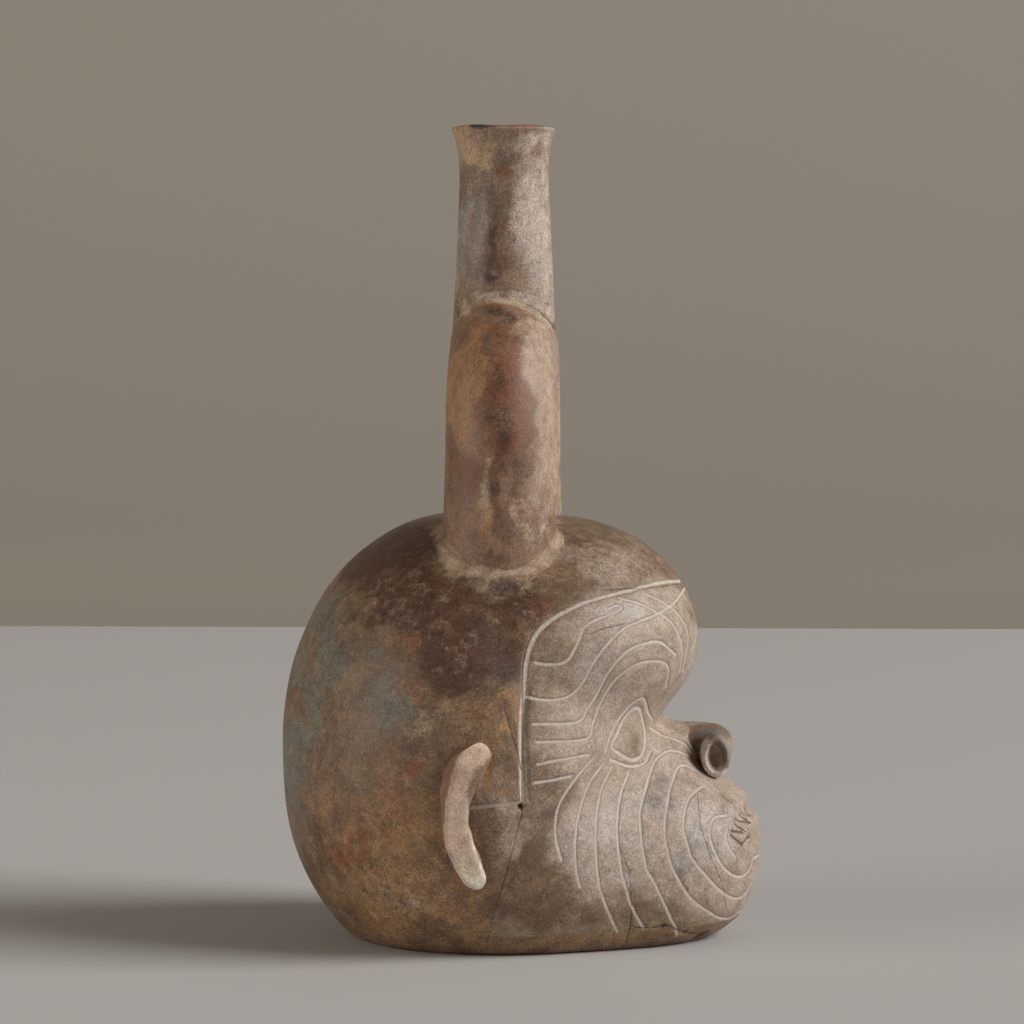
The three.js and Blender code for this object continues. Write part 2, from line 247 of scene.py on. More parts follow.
def add_piece(
    name: str, node: str, points: Array, faces: Faces, edges: Faces, marks: Marks, material: Material
) -> None:
    """Puts a closed surface into a mesh that stands for a CAD node and rides on the one body.

    Args:
        name: Name of the piece.
        node: CAD node that the piece replaces.
        points: Vertices in millimetres.
        faces: Faces with smooth shading.
        edges: Hidden joint faces with flat shading.
        marks: Values that the material reads at each vertex.
        material: Finish of the piece.
    """
    mesh = bpy.data.meshes.new(name)
    mesh.from_pydata((points * MM).tolist(), [], edges + faces)
    for mark, values in marks.items():
        mesh.attributes.new(mark, "FLOAT", "POINT").data.foreach_set("value", values.astype(np.float32))
    mesh.polygons.foreach_set("use_smooth", [False] * len(edges) + [True] * len(faces))
    shape = bmesh.new()
    shape.from_mesh(mesh)
    bmesh.ops.recalc_face_normals(shape, faces=shape.faces)
    shape.to_mesh(mesh)
    shape.free()
    mesh.materials.append(material)
    piece = bpy.data.objects.new(name, mesh)
    bpy.context.scene.collection.objects.link(piece)
    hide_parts(node)
    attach(piece, "root")
    LOG.info("%s: %d vertices, %d faces", name, len(points), len(faces) + len(edges))


@dataclass(frozen=True)
class Lobe:
    """One swelling of the head: an oval plan, with upper and lower halves that a power squares off."""

    x: float
    z: float
    reach: float
    side: float
    up: float
    down: float
    upper_power: float = 2.0
    lower_power: float = 2.0

    def level(self, points: Array) -> Array:
        """How far points lie outside the lobe along the line from its centre: distance x (1 - 1 / share).

        Args:
            points: Points in millimetres, on the last axis.

        Returns:
            The level of each point, below zero inside.
        """
        dx, y, dz = points[..., 0] - self.x, points[..., 1], points[..., 2] - self.z
        power = np.where(dz > 0, self.upper_power, self.lower_power)
        plan = np.hypot(dx / self.reach, y / self.side)
        rise = np.abs(dz) / np.where(dz > 0, self.up, self.down)
        share = (plan**power + rise**power) ** (1 / power)
        return np.sqrt(dx**2 + y**2 + dz**2) * (1 - 1 / np.maximum(share, 1e-6))


@dataclass(frozen=True)
class HeadForm:
    """The swelling form of the head, as five lobes that run into each other."""

    cranium: Lobe = Lobe(-10, 57, 56, 65, 69, 67, 2.1, 2.4)
    brow: Lobe = Lobe(14, 88, 44, 54, 37, 31)
    jaw: Lobe = Lobe(2, 30, 52, 57, 30, 43, 2.0, 2.4)
    muzzle: Lobe = Lobe(20, 30, 56.5, 44, 25.5, 43, 2.4, 2.4)
    snout: Lobe = Lobe(41, 49, 15.5, 24, 13, 14, 3.0, 2.0)
    blend: float = 7.0
    swell: float | Array = 0.0
    axis_x: float = 8.0
    core_z: float = 60.0
    far: float = 200.0
    halvings: int = 27
    probe: float = 0.05
    settle_steps: int = 6

    def level(self, points: Array) -> Array:
        """How far points lie outside the skin: the lobes' levels, blended one after another.

        Args:
            points: Points in millimetres, on the last axis.

        Returns:
            The level of each point, below zero inside.
        """
        total = self.cranium.level(points)
        for lobe in (self.brow, self.jaw, self.muzzle, self.snout):
            total = smooth_min(total, lobe.level(points), self.blend)
        return total - self.swell

    def normal(self, points: Array) -> Array:
        """Outward directions: the slope of the level along each axis, at unit length.

        Args:
            points: Points in millimetres, on the last axis.

        Returns:
            A unit direction at each point.
        """
        steps = self.probe * np.eye(3)
        slope = np.stack([self.level(points + step) - self.level(points - step) for step in steps], axis=-1)
        return slope / np.linalg.norm(slope, axis=-1, keepdims=True)

    def along(self, start: ArrayLike, direction: ArrayLike) -> Array:
        """Where lines from inside the head come out through the skin."""
        start, direction = np.broadcast_arrays(np.asarray(start, float), np.asarray(direction, float))
        return way_out(self.level, start, direction, self.far, self.halvings)

    def round(self, turn: Array, z: Array) -> Array:
        """Skin points at a turn about the upright axis and a height.

        Args:
            turn: Turns in radians, from +X towards +Y.
            z: Heights.

        Returns:
            Points on the skin.
        """
        turn, z = np.broadcast_arrays(turn, z)
        start = np.stack([np.full_like(z, self.axis_x), np.zeros_like(z), z], axis=-1)
        return self.along(start, np.stack([np.cos(turn), np.sin(turn), np.zeros_like(z)], axis=-1))

    def above(self, x: Array, y: Array) -> Array:
        """Skin points of the crown over a place in plan."""
        x, y = np.broadcast_arrays(x, y)
        return self.along(np.stack([x, y, np.full_like(x, self.core_z)], axis=-1), (0, 0, 1))

    def settle(self, points: Array) -> Array:
        """Moves nearby points onto the skin by stepping down the slope.

        Args:
            points: Points near the skin.

        Returns:
            Points on the skin.
        """
        for _ in range(self.settle_steps):
            points = points - self.normal(points) * self.level(points)[..., None]
        return points


@dataclass(frozen=True)
class FaceForm(HeadForm):
    """The head's form with the root of the nose drawn out of the face."""

    bridge: Lobe = Lobe(52.5, 57.6, 13.0, 8.2, 5.8, 5.2, 2.6, 2.2)
    bridge_blend: float = 4.0

    def level(self, points: Array) -> Array:
        """The head's level with the bridge of the nose blended in."""
        return smooth_min(super().level(points), self.bridge.level(points), self.bridge_blend)


@dataclass(frozen=True)
class PhotoCamera:
    """The photograph's camera, found from its perspective. Lengths in millimetres, angles in degrees."""

    focal_pixels: float = 3800.0
    image_size: float = 1024.0
    height: float = 165.4
    distance: float = 1128.6
    aside: float = 2.38
    turn: float = 2.6
    pitch: float = 2.02
    sensor: float = 36.0
    start_before: float = 150.0
    walk_steps: int = 70
    walk_share: float = 0.9

    def axes(self) -> tuple[Array, Array, Array]:
        """Right, up and forward directions.

        Returns:
            The three unit directions.
        """
        turn, pitch = np.radians([self.turn, self.pitch])
        right = np.array([np.cos(turn), np.sin(turn), 0])
        forward = np.array([-np.sin(turn) * np.cos(pitch), np.cos(turn) * np.cos(pitch), -np.sin(pitch)])
        return right, np.cross(right, forward), forward

    def position(self) -> Array:
        """Place of the lens."""
        right = self.axes()[0]
        return self.distance * np.array([right[1], -right[0], 0]) + self.aside * right + (0, 0, self.height)

    def pixels(self, points: Array) -> Array:
        """Where points show in the photograph: focal length x offset / depth, from the middle of the image.

        Args:
            points: Points in millimetres, one per row.

        Returns:
            Pixels to the right and down, one pair per row.
        """
        right, up, forward = self.axes()
        offset = points - self.position()
        scale = self.focal_pixels / (offset @ forward)
        middle = self.image_size / 2
        return np.stack([middle + scale * (offset @ right), middle - scale * (offset @ up)], axis=-1)

    def on_skin(self, pixels: Array, form: HeadForm) -> Array:
        """Follows the sight lines of pixels to the head.

        Each line is walked by a share of its level at a time. One that passes by ends where it comes nearest.

        Args:
            pixels: Places in the photograph, one per row.
            form: Form of the head.

        Returns:
            Points on the skin.
        """
        right, up, forward = self.axes()
        offset = (pixels - self.image_size / 2) / self.focal_pixels
        sight = forward + offset[:, :1] * right - offset[:, 1:] * up
        sight /= np.linalg.norm(sight, axis=-1, keepdims=True)
        walked = np.full(len(pixels), self.distance - self.start_before)
        best, least = walked.copy(), np.full(len(pixels), np.inf)
        for _ in range(self.walk_steps):
            level = form.level(self.position() + walked[:, None] * sight)
            better = np.abs(level) < least
            best, least = np.where(better, walked, best), np.where(better, np.abs(level), least)
            walked = walked + self.walk_share * level
        return form.settle(self.position() + best[:, None] * sight)

    def build(self) -> None:
        """Makes the scene's camera."""
        data = bpy.data.cameras.new("photo_camera")
        data.sensor_width = self.sensor
        data.lens = self.focal_pixels * self.sensor / self.image_size
        camera = bpy.data.objects.new("photo_camera", data)
        bpy.context.scene.collection.objects.link(camera)
        right, up, forward = self.axes()
        turned = Matrix(np.stack([right, up, -forward], axis=-1).tolist()).to_4x4()
        camera.matrix_world = Matrix.Translation(self.position() * MM) @ turned
        bpy.context.scene.camera = camera


class Fill(Enum):
    """What a line is filled with."""

    PALE = "pale"
    DARK = "dark"


@dataclass(frozen=True)
class StrokeSize:
    """What fills a stroke and how fully, half widths of its colour and its groove, and the depth, in millimetres."""

    fill: Fill
    amount: float
    half_width: float
    groove: float
    depth: float


class Stroke(Enum):
    """How a line was made in the clay, or how a band of painted shadow beside one is drawn."""

    INCISED = StrokeSize(Fill.PALE, 1.0, 0.4, 0.6, 0.2)
    BORDER = StrokeSize(Fill.PALE, 1.0, 0.54, 0.8, 0.28)
    STAIN = StrokeSize(Fill.PALE, 0.34, 0.4, 0.6, 0.1)
    # Painted shadow: a soft dark band beside the border line's groove, over a shallow groove of its own
    RUB = StrokeSize(Fill.DARK, 0.46, 0.6, 0.7, 0.1)
    TOOTH = StrokeSize(Fill.DARK, 0.8, 0.3, 0.5, 0.5)
    CRACK = StrokeSize(Fill.DARK, 0.8, 0.22, 0.5, 0.15)
    HAIRLINE = StrokeSize(Fill.DARK, 0.5, 0.15, 0.5, 0.06)


@dataclass(frozen=True)
class Chip:
    """A dent or hole knocked into the clay, at a place of the photograph. Sizes in millimetres."""

    place: Pixel
    radius: float
    depth: float
    dark: float = 0.8


# The border of the face, from the jaw's corner up and over the brow
BORDER_LINE = (
    (523, 803), (521.5, 770), (521, 735), (522, 712), (524, 694), (526.5, 665), (531, 646), (537, 634),
    (548, 622), (566, 611), (585, 602), (605, 596), (630, 590), (650, 584.5), (668, 581), (685, 580.5),
)
# Lines of the forehead and temple
TEMPLE_LINES = (
    (
        (524, 696), (546, 700), (568, 697), (582, 685), (592, 667), (602, 652), (615, 637), (627, 627),
        (643, 620), (660, 613), (676, 602), (686, 588),
    ),
    (
        (536, 724), (577, 722.5), (588, 710), (599, 692), (612, 669), (630, 650), (650, 642.5), (663, 643),
        (676, 654),
    ),
    (
        (541, 742), (587, 739), (594, 723), (602, 703), (615, 682), (630, 669), (645, 662.5), (663, 662),
        (670, 670), (668, 686),
    ),
    ((541, 764), (560, 760), (589, 755)),
    ((538, 782.5), (555, 780), (571, 776.5)),
    (
        (538, 663), (548, 664.5), (566, 662), (576.5, 647), (584, 629), (594, 621), (612, 613.5), (621, 609.5),
        (622, 606), (617, 605), (611, 608),
    ),
)
BROW_LINES = (
    ((622, 598), (643, 604.5), (658, 612), (673, 622), (682, 639), (684, 654), (682, 670)),
    ((648, 594), (663, 601), (678, 612), (689, 631), (689, 649), (685, 670)),
    ((684, 593), (691, 603), (697, 618), (698, 637), (693, 655)),
)
EYE_RIM = (
    (638, 708), (641, 710), (644, 720), (646, 730), (646.5, 740), (644.5, 752), (640, 758), (633, 759.5),
    (625, 756), (613.5, 747), (618, 735), (624, 721), (632, 711), (638, 708),
)
EYE_LINES = (
    ((643, 698.5), (636, 702), (629, 708), (620, 719), (612, 734), (607.5, 749)),
    ((644, 698.5), (647, 704), (649, 712), (653, 719)),
    ((613, 760), (630, 766), (645, 763), (651, 752)),
    ((652, 728), (663, 735), (675, 739), (685, 744), (690, 751)),
)
CHEEK_LINES = (
    ((593, 760), (576, 780), (561, 803), (556, 823), (557, 841), (561, 858)),
    ((604, 765), (590, 785), (580, 815), (576, 845), (577, 870), (580, 885)),
    ((613, 768), (603, 790), (598, 815), (597, 840), (598, 870), (601, 890), (606, 905), (613, 922), (617, 930)),
    ((630, 773), (622, 795), (618, 830), (622, 870), (627, 890), (632, 907), (643, 927)),
    (
        (688, 755), (678, 751), (668, 751), (658, 758), (652, 770), (642, 805), (641, 825), (646, 865),
        (655, 883), (663, 900), (672, 920), (680, 934),
    ),
)
MUZZLE_LINES = (
    (
        (715, 778), (695, 769), (685, 765), (678, 768), (674, 778), (669, 795), (665, 830), (668, 850),
        (673, 868), (690, 897), (712, 914), (722, 919), (732, 919), (740, 913),
    ),
    (
        (712, 789), (704, 786), (695, 792), (688, 801), (684, 825), (690, 852), (697, 864), (715, 885),
        (727, 895), (737, 899), (745, 896), (753, 885), (757, 876),
    ),
    (
        (727, 815), (716, 817), (711, 826), (711, 838), (715, 850), (721, 862), (729, 872), (738, 877),
        (746, 875), (752, 868), (755, 858),
    ),
)
LIP_LINE = ((728, 830), (727, 838), (730, 847), (735, 855))
TOOTH_STROKES = (
    ((752, 806), (756, 813)),
    ((749, 808), (753.5, 813.5)),
    ((746, 809), (751.5, 820.5)),
    ((751, 822), (742, 816.5)),
    ((741, 819), (747, 830)),
    ((745, 832), (737, 830)),
    ((737, 834), (743.5, 845)),
    ((744, 845), (749.5, 838)),
)
MOUTH_LINE = ((737, 836), (741, 827), (745, 817), (748, 808))
# Cracks and stains of age
CRACKS = (
    ((630, 927), (643, 928.5), (655, 928), (666, 926.5), (679, 930), (691, 932.5), (703, 934)),
    ((632, 912), (631, 920), (630, 927), (627, 941)),
    ((506, 713), (509, 723), (513, 737), (518, 752), (521, 766)),
)
HAIRLINES = (
    ((621, 850), (629, 871), (631, 891), (632, 917)),
    ((698, 797), (700, 815), (702, 830), (713, 860), (724, 887), (727, 908)),
    ((592, 633), (606, 628), (623, 624)),
    ((341, 549), (352, 543), (365, 536)),
    ((714, 789), (722, 794), (731, 801)),
)
STAIN_LINES = (((474, 808), (492, 806), (505, 805), (519, 803)),)
# Painted shadow of the border line's groove, a band on its face side
BORDER_SHADOW_LINES = (((529.5, 690), (527, 715), (527.5, 744), (529, 779), (530, 799)),)
CHIPS = (
    Chip((521, 807), 1.0, 1.2, 1.0),
    Chip((708, 936), 1.8, 1.6, 1.0),
    Chip((571, 542), 2.6, 0.6, 0.0),
    Chip((286, 790), 1.6, 0.5, 0.3),
    Chip((452, 894), 0.7, 0.2, 0.0),
    Chip((664, 926.5), 0.8, 0.5, 0.9),
    Chip((688, 931.5), 0.7, 0.5, 0.9),
)


@dataclass
class SurfaceMarks:
    """The head's lines, cracks and chips, and a painted shadow by the face's border; the far side mirrors the near
    one.
    """

    form: HeadForm
    camera: PhotoCamera
    seam: Array
    reach: float = 4.0
    plain_at: float = 1.3
    fade: float = 0.4
    eye_middle: Pixel = (632, 738)
    eye_radius: float = 6.0
    eye_swell: float = 0.7
    mouth_half_width: float = 2.6
    mouth_depth: float = 2.0
    mouth_corner_x: float = 60.0
    mouth_front_x: float = 70.0
    seam_open_z: float = 46.0
    front_steps: int = 6
    lines: list[tuple[StrokeSize, Array]] = field(init=False)
    spots: list[tuple[Array, Chip]] = field(init=False)
    mouth: Array = field(init=False)
    eye: Array = field(init=False)

    def __post_init__(self) -> None:
        """Carries each named line and chip from the photograph onto the skin."""
        drawn = [(Stroke.BORDER, BORDER_LINE, True)]
        drawn += [(Stroke.INCISED, places, True) for places in MUZZLE_LINES]
        groups = {
            Stroke.BORDER: (EYE_RIM,),
            Stroke.INCISED: (*TEMPLE_LINES, *BROW_LINES, *EYE_LINES, *CHEEK_LINES, LIP_LINE),
            Stroke.TOOTH: TOOTH_STROKES,
            Stroke.CRACK: CRACKS,
            Stroke.HAIRLINE: HAIRLINES,
            Stroke.STAIN: STAIN_LINES,
            # The band of painted shadow beside the border line
            Stroke.RUB: BORDER_SHADOW_LINES,
        }
        drawn += [(stroke, places, False) for stroke, group in groups.items() for places in group]
        self.lines = [(stroke.value, self.lay(places, front)) for stroke, places, front in drawn]
        self.lines.append((Stroke.HAIRLINE.value, self.seam[self.seam[:, 2] < self.seam_open_z]))
        places = self.camera.on_skin(np.array([chip.place for chip in CHIPS], float), self.form)
        self.spots = list(zip(places, CHIPS))
        self.mouth = self.lay(MOUTH_LINE, front=True)
        self.eye = self.camera.on_skin(np.array([self.eye_middle], float), self.form)[0]

    def lay(self, places: tuple[Pixel, ...], front: bool) -> Array:
        """Lays a smooth line on the near side of the head.

        Args:
            places: Places of the photograph that it goes through.
            front: Whether it is carried on round the front to the mid-plane.

        Returns:
            Points on the skin.
        """
        laid = self.camera.on_skin(smooth_curve(np.array(places, float)), self.form)
        if front:
            y = np.linspace(laid[-1, 1], 0, self.front_steps + 1)[1:]
            start = np.stack([np.full_like(y, self.form.muzzle.x), y, np.full_like(y, laid[-1, 2])], axis=-1)
            laid = np.vstack([laid, self.form.along(start, (1, 0, 0))])
        return laid

    def at(self, points: Array) -> tuple[Array, Marks]:
        """Relief and colour of the marks at points of the skin.

        A groove is a bell curve of the distance to its line. Its colour is kept as the point's side of the nearest
        line, in half widths, and a share that is nothing away from it, so that fine lines stay sharp on the mesh.

        Args:
            points: Points in millimetres, one per row.

        Returns:
            Height above the plain skin, and the marks that the finish reads.
        """
        near = points.copy()
        near[:, 1] = -np.abs(near[:, 1])
        outward = self.form.normal(near)
        relief, chipped = np.zeros((2, len(points)))
        closest = {fill: np.full(len(points), self.reach) for fill in Fill}
        marks = {f"{fill.value}_{what}": np.zeros(len(points)) for fill in Fill for what in ("side", "share")}
        for size, line in self.lines:
            gap, side = line_field(near, outward, line, self.reach)
            relief = np.minimum(relief, -size.depth * np.exp(-((gap / size.groove) ** 2)))
            won = gap < closest[size.fill]
            closest[size.fill] = np.where(won, gap, closest[size.fill])
            share = size.amount * unit((self.plain_at - gap) / self.fade)
            for what, values in (("side", side / size.half_width), ("share", share)):
                name = f"{size.fill.value}_{what}"
                marks[name] = np.where(won, values, marks[name])
        for place, chip in self.spots:
            hollow = np.exp(-((((near - place) ** 2).sum(-1) / chip.radius**2) ** 2))
            relief -= chip.depth * hollow
            chipped = np.maximum(chipped, chip.dark * hollow)
        mouth, _ = line_field(near, outward, self.mouth, 3 * self.mouth_half_width)
        deep = unit((near[:, 0] - self.mouth_corner_x) / (self.mouth_front_x - self.mouth_corner_x))
        relief -= self.mouth_depth * deep * np.exp(-((mouth / self.mouth_half_width) ** 2))
        eye = ((near - self.eye) ** 2).sum(-1) / self.eye_radius**2
        relief += self.eye_swell * np.exp(-(eye**2))
        return relief, {**marks, "chip": chipped}


# Soft-edged patches of each tone: a place of the photograph, half sizes in pixels along x and y, and an amount
PATCHES = {
    # Cool haze on the back of the head, the spout and the muzzle
    Tone.GREY: (
        (388, 704, 40, 40, 0.5), (326, 650, 40, 80, 0.5), (300, 740, 28, 130, 0.56), (400, 532, 56, 14, 0.5),
        (488, 822, 16, 24, 0.4), (664, 792, 15, 44, 0.52), (682, 866, 15, 28, 0.5), (692, 826, 10, 34, 0.45),
        (709, 731, 20, 12, 0.62), (464, 240, 11, 66, 0.72), (480, 238, 9, 50, 0.58),
    ),
    # Ochre clay, warm and dull; inside the eye it is partly painted shade
    Tone.OCHRE: (
        (482, 712, 40, 22, 0.6), (420, 895, 120, 44, 0.66), (560, 935, 150, 22, 0.6), (400, 820, 80, 70, 0.62),
        (320, 800, 24, 90, 0.42), (467, 384, 22, 66, 1.0), (475, 148, 24, 28, 0.9), (461, 290, 9, 44, 0.5),
        (484, 520, 12, 34, 0.7), (550, 655, 22, 40, 0.4), (730, 804, 18, 18, 0.5), (600, 560, 90, 14, 0.4),
        # (626, 741) darkens the inside of the eye: partly brown clay, partly painted shade of its hollow
        (690, 922, 80, 16, 0.5), (626, 741, 16, 15, 0.54), (500, 772, 24, 44, 0.7), (548, 690, 26, 100, 0.45),
    ),
    # Red-brown slip that shows through
    Tone.RED: (
        (407, 640, 22, 26, 0.58), (424, 690, 20, 20, 0.48), (394, 780, 38, 34, 0.46), (358, 846, 40, 36, 0.54),
        (384, 812, 44, 34, 0.42), (575, 562, 50, 22, 0.4), (530, 606, 50, 26, 0.5), (455, 650, 70, 40, 0.5),
        (508, 880, 16, 28, 0.45), (505, 395, 44, 110, 0.62), (458, 470, 22, 36, 0.7), (535, 520, 20, 30, 0.5),
        (527, 124.5, 33, 2.5, 1.0), (530, 165, 26, 34, 0.4), (505, 172, 14, 14, 0.55),
        (502, 240, 12, 60, 0.45),
    ),
    # Smoke from the firing: on the crown, the temple, the spout and the base; beside the nose it is painted shade
    Tone.SOOT_AND_SHADE: (
        (400, 550, 66, 40, 0.8), (364, 572, 44, 40, 0.62), (430, 600, 84, 48, 0.74), (466, 646, 64, 54, 0.76),
        (508, 656, 36, 46, 0.78), (518, 608, 46, 34, 0.62), (457, 897, 34, 18, 0.45), (510, 884, 16, 26, 0.5),
        # (698, 750) is painted shade in the groove behind the nostril. (702, 731) on the next line darkens the nose
        # ridge's side: partly grey-brown clay, partly painted shade between ridge and nostril
        (484, 710, 32, 16, 0.46), (310, 850, 24, 50, 0.4), (335, 746, 12, 12, 0.42), (698, 750, 8, 24, 0.75),
        (702, 731, 20, 14, 0.46), (494, 235, 7, 50, 0.6), (492, 278, 8, 7, 0.7), (504, 315, 34, 9, 0.54),
        (498, 420, 13, 110, 0.5), (496, 556, 16, 12, 0.45), (473, 125, 22, 3, 0.9), (660, 944, 60, 9, 0.4),
    ),
    # The face's tan slip
    Tone.TAN: (
        (640, 660, 106, 80, 1.0), (605, 740, 76, 60, 0.95), (650, 820, 106, 96, 1.0), (720, 830, 80, 90, 1.1),
        (690, 735, 60, 40, 0.9), (605, 560, 70, 24, 0.62), (520, 800, 26, 60, 0.44), (504, 830, 22, 34, 0.72),
    ),
    # A thin pale wash over the cheek, the brow and the stirrup; on the brow and the leg's right side it is partly
    # painted light
    Tone.WASH_AND_LIGHT: (
        # (640, 650) and (580, 662) lighten the brow, which faces up: partly dusty wear, partly painted light. (548,
        # 405) lightens the leg's right side towards the key lamp: partly pale mottling, partly painted light
        (612, 830, 70, 70, 0.5), (700, 830, 60, 70, 0.5), (640, 650, 60, 50, 0.34), (620, 612, 34, 14, 0.62),
        (580, 662, 28, 34, 0.46), (548, 405, 22, 125, 0.82),
    ),
    # Pale worn clay; down the right sides of the spout and the leg and on the brow it is partly painted light
    Tone.CREAM: (
        (426, 722, 30, 22, 0.42), (490, 608, 60, 30, 0.26), (325, 650, 26, 60, 0.26),
        # (541, 225) down the spout's right side and (552, 430) down the leg's right side: partly pale mottling,
        # partly a painted highlight on the side towards the key lamp
        (541, 225, 33, 130, 0.76), (532, 150, 26, 26, 0.7), (552, 430, 13, 120, 0.48), (530, 520, 26, 40, 0.4),
        (486, 500, 9, 50, 0.5), (505, 298, 40, 7, 0.84), (464, 312, 6, 9, 0.7), (550, 316, 8, 14, 0.84),
        (446, 550, 9, 9, 0.5), (453, 559, 15, 9, 0.64), (474, 570, 22, 8, 0.62), (498, 575, 26, 7, 0.58),
        (522, 572, 24, 7, 0.52), (544, 562, 18, 8, 0.52), (560, 545, 9, 12, 0.5), (482, 788, 10, 32, 0.5),
        # (650, 630) on the brow: partly dusty wear, partly painted light
        (520, 588, 44, 14, 0.36), (400, 900, 60, 34, 0.42), (650, 630, 50, 46, 0.28),
    ),
}


@dataclass(frozen=True)
class WeatheringAndPaintedLight:
    """The patches of smoke, wear, slip and painted light and shade on the bottle, seen from the near side and
    repeated on the far one.

    Waves warp their edges: radians per pixel of the photograph, and heights in pixels.
    """

    WAVES: ClassVar[Array] = np.array(
        [[0.031, 0.047], [0.062, -0.041], [0.105, 0.083], [-0.13, 0.17], [0.29, 0.23]]
    )
    HEIGHTS: ClassVar[Array] = np.array([8.0, 6.0, 4.0, 2.5, 1.5])

    camera: PhotoCamera
    loose_from: float = 28.0
    phase_step: float = 2.1
    cross_rate: float = 1.3
    edge_power: float = 1.3

    def at(self, points: Array) -> Marks:
        """The strongest patch of each tone at points, each a flat-topped bell over its half sizes.

        Args:
            points: Points in millimetres, one per row.

        Returns:
            The share of each tone, from 0 to 1.
        """
        near = points.copy()
        near[:, 1] = -np.abs(near[:, 1])
        pixels = self.camera.pixels(near)
        phase = pixels @ self.WAVES.T + self.phase_step * np.arange(len(self.WAVES))
        warp = np.stack([np.sin(phase) @ self.HEIGHTS, np.cos(self.cross_rate * phase) @ self.HEIGHTS], axis=-1)
        marks = {tone.value: np.zeros(len(points)) for tone in Tone}
        for tone, patches in PATCHES.items():
            for x, y, half_x, half_y, amount in patches:
                loose = min(1.0, min(half_x, half_y) / self.loose_from)
                offset = ((pixels + loose * warp - (x, y)) / (half_x, half_y)) ** 2
                share = amount * np.exp(-(offset.sum(-1) ** self.edge_power))
                marks[tone.value] = np.maximum(marks[tone.value], share)
        return {name: unit(values) for name, values in marks.items()}


@dataclass(frozen=True)
class Layer:
    """A second colour of a finish, where a tone marks the surface, broken up by a grain of real size."""

    tone: Tone
    colour: str
    grain_mm: float
    breakup: float = 1.5


# Levels between which a noise swings, and at which a cover starts and is full. A line's edge is in its reaches
NOISE_SPAN = (0.34, 0.66)
MOTTLE_EDGE = (0.4, 0.6)
LAYER_EDGE = (0.26, 0.66)
SPECK_EDGE = (0.98, 1.2)
PIT_EDGE = (0.9, 0.7)
FILL_GAPS = (0.42, 0.6)
LINE_EDGE = (0.6, 1.4)
GAP_SHARE = 0.6


def lay_coats(tree: NodeTree, colour: NodeSocket | tuple, coats: list[tuple[NodeSocket, str]]) -> NodeSocket:
    """Lays coats over a colour, one after another.

    Args:
        tree: Node tree of the finish.
        colour: Colour under the coats.
        coats: Cover and colour of each coat.

    Returns:
        Socket with the colour that is seen.
    """
    for cover, paint in coats:
        inputs = {0: cover, 6: colour, 7: linear(paint)}
        colour = add(tree, "ShaderNodeMix", inputs, data_type="RGBA").outputs[2]
    return colour


def line_cover(tree: NodeTree, fill: Fill, grain: NodeSocket, fray: float, reach: float = 1.0) -> NodeSocket:
    """How much of a line's fill covers a point: all within its reach, with gaps and edges that a grain frays.

    Args:
        tree: Node tree of the finish.
        fill: What the line is filled with.
        grain: Noise that frets the edges.
        fray: How strongly it does so.
        reach: How far the cover goes, in half widths of the line.

    Returns:
        Socket with the cover, from 0 to 1.
    """
    side, share = (
        add(tree, "ShaderNodeAttribute", attribute_name=f"{fill.value}_{what}").outputs["Fac"]
        for what in ("side", "share")
    )
    away = add(tree, "ShaderNodeMath", {0: side}, operation="ABSOLUTE").outputs[0]
    frayed = add(tree, "ShaderNodeMath", {0: grain, 1: fray, 2: away}, operation="MULTIPLY_ADD").outputs[0]
    start, end = (level * reach + fray / 2 for level in LINE_EDGE)
    edge = {0: frayed, 1: start, 2: end, 3: 1.0, 4: 0.0}
    cover = add(tree, "ShaderNodeMapRange", edge, interpolation_type="SMOOTHSTEP").outputs[0]
    gaps = {0: grain, 1: FILL_GAPS[0], 2: FILL_GAPS[1], 3: 1.0, 4: GAP_SHARE}
    full = add(tree, "ShaderNodeMapRange", gaps).outputs[0]
    filled = add(tree, "ShaderNodeMath", {0: share, 1: full}, operation="MULTIPLY").outputs[0]
    return add(tree, "ShaderNodeMath", {0: cover, 1: filled}, operation="MULTIPLY").outputs[0]


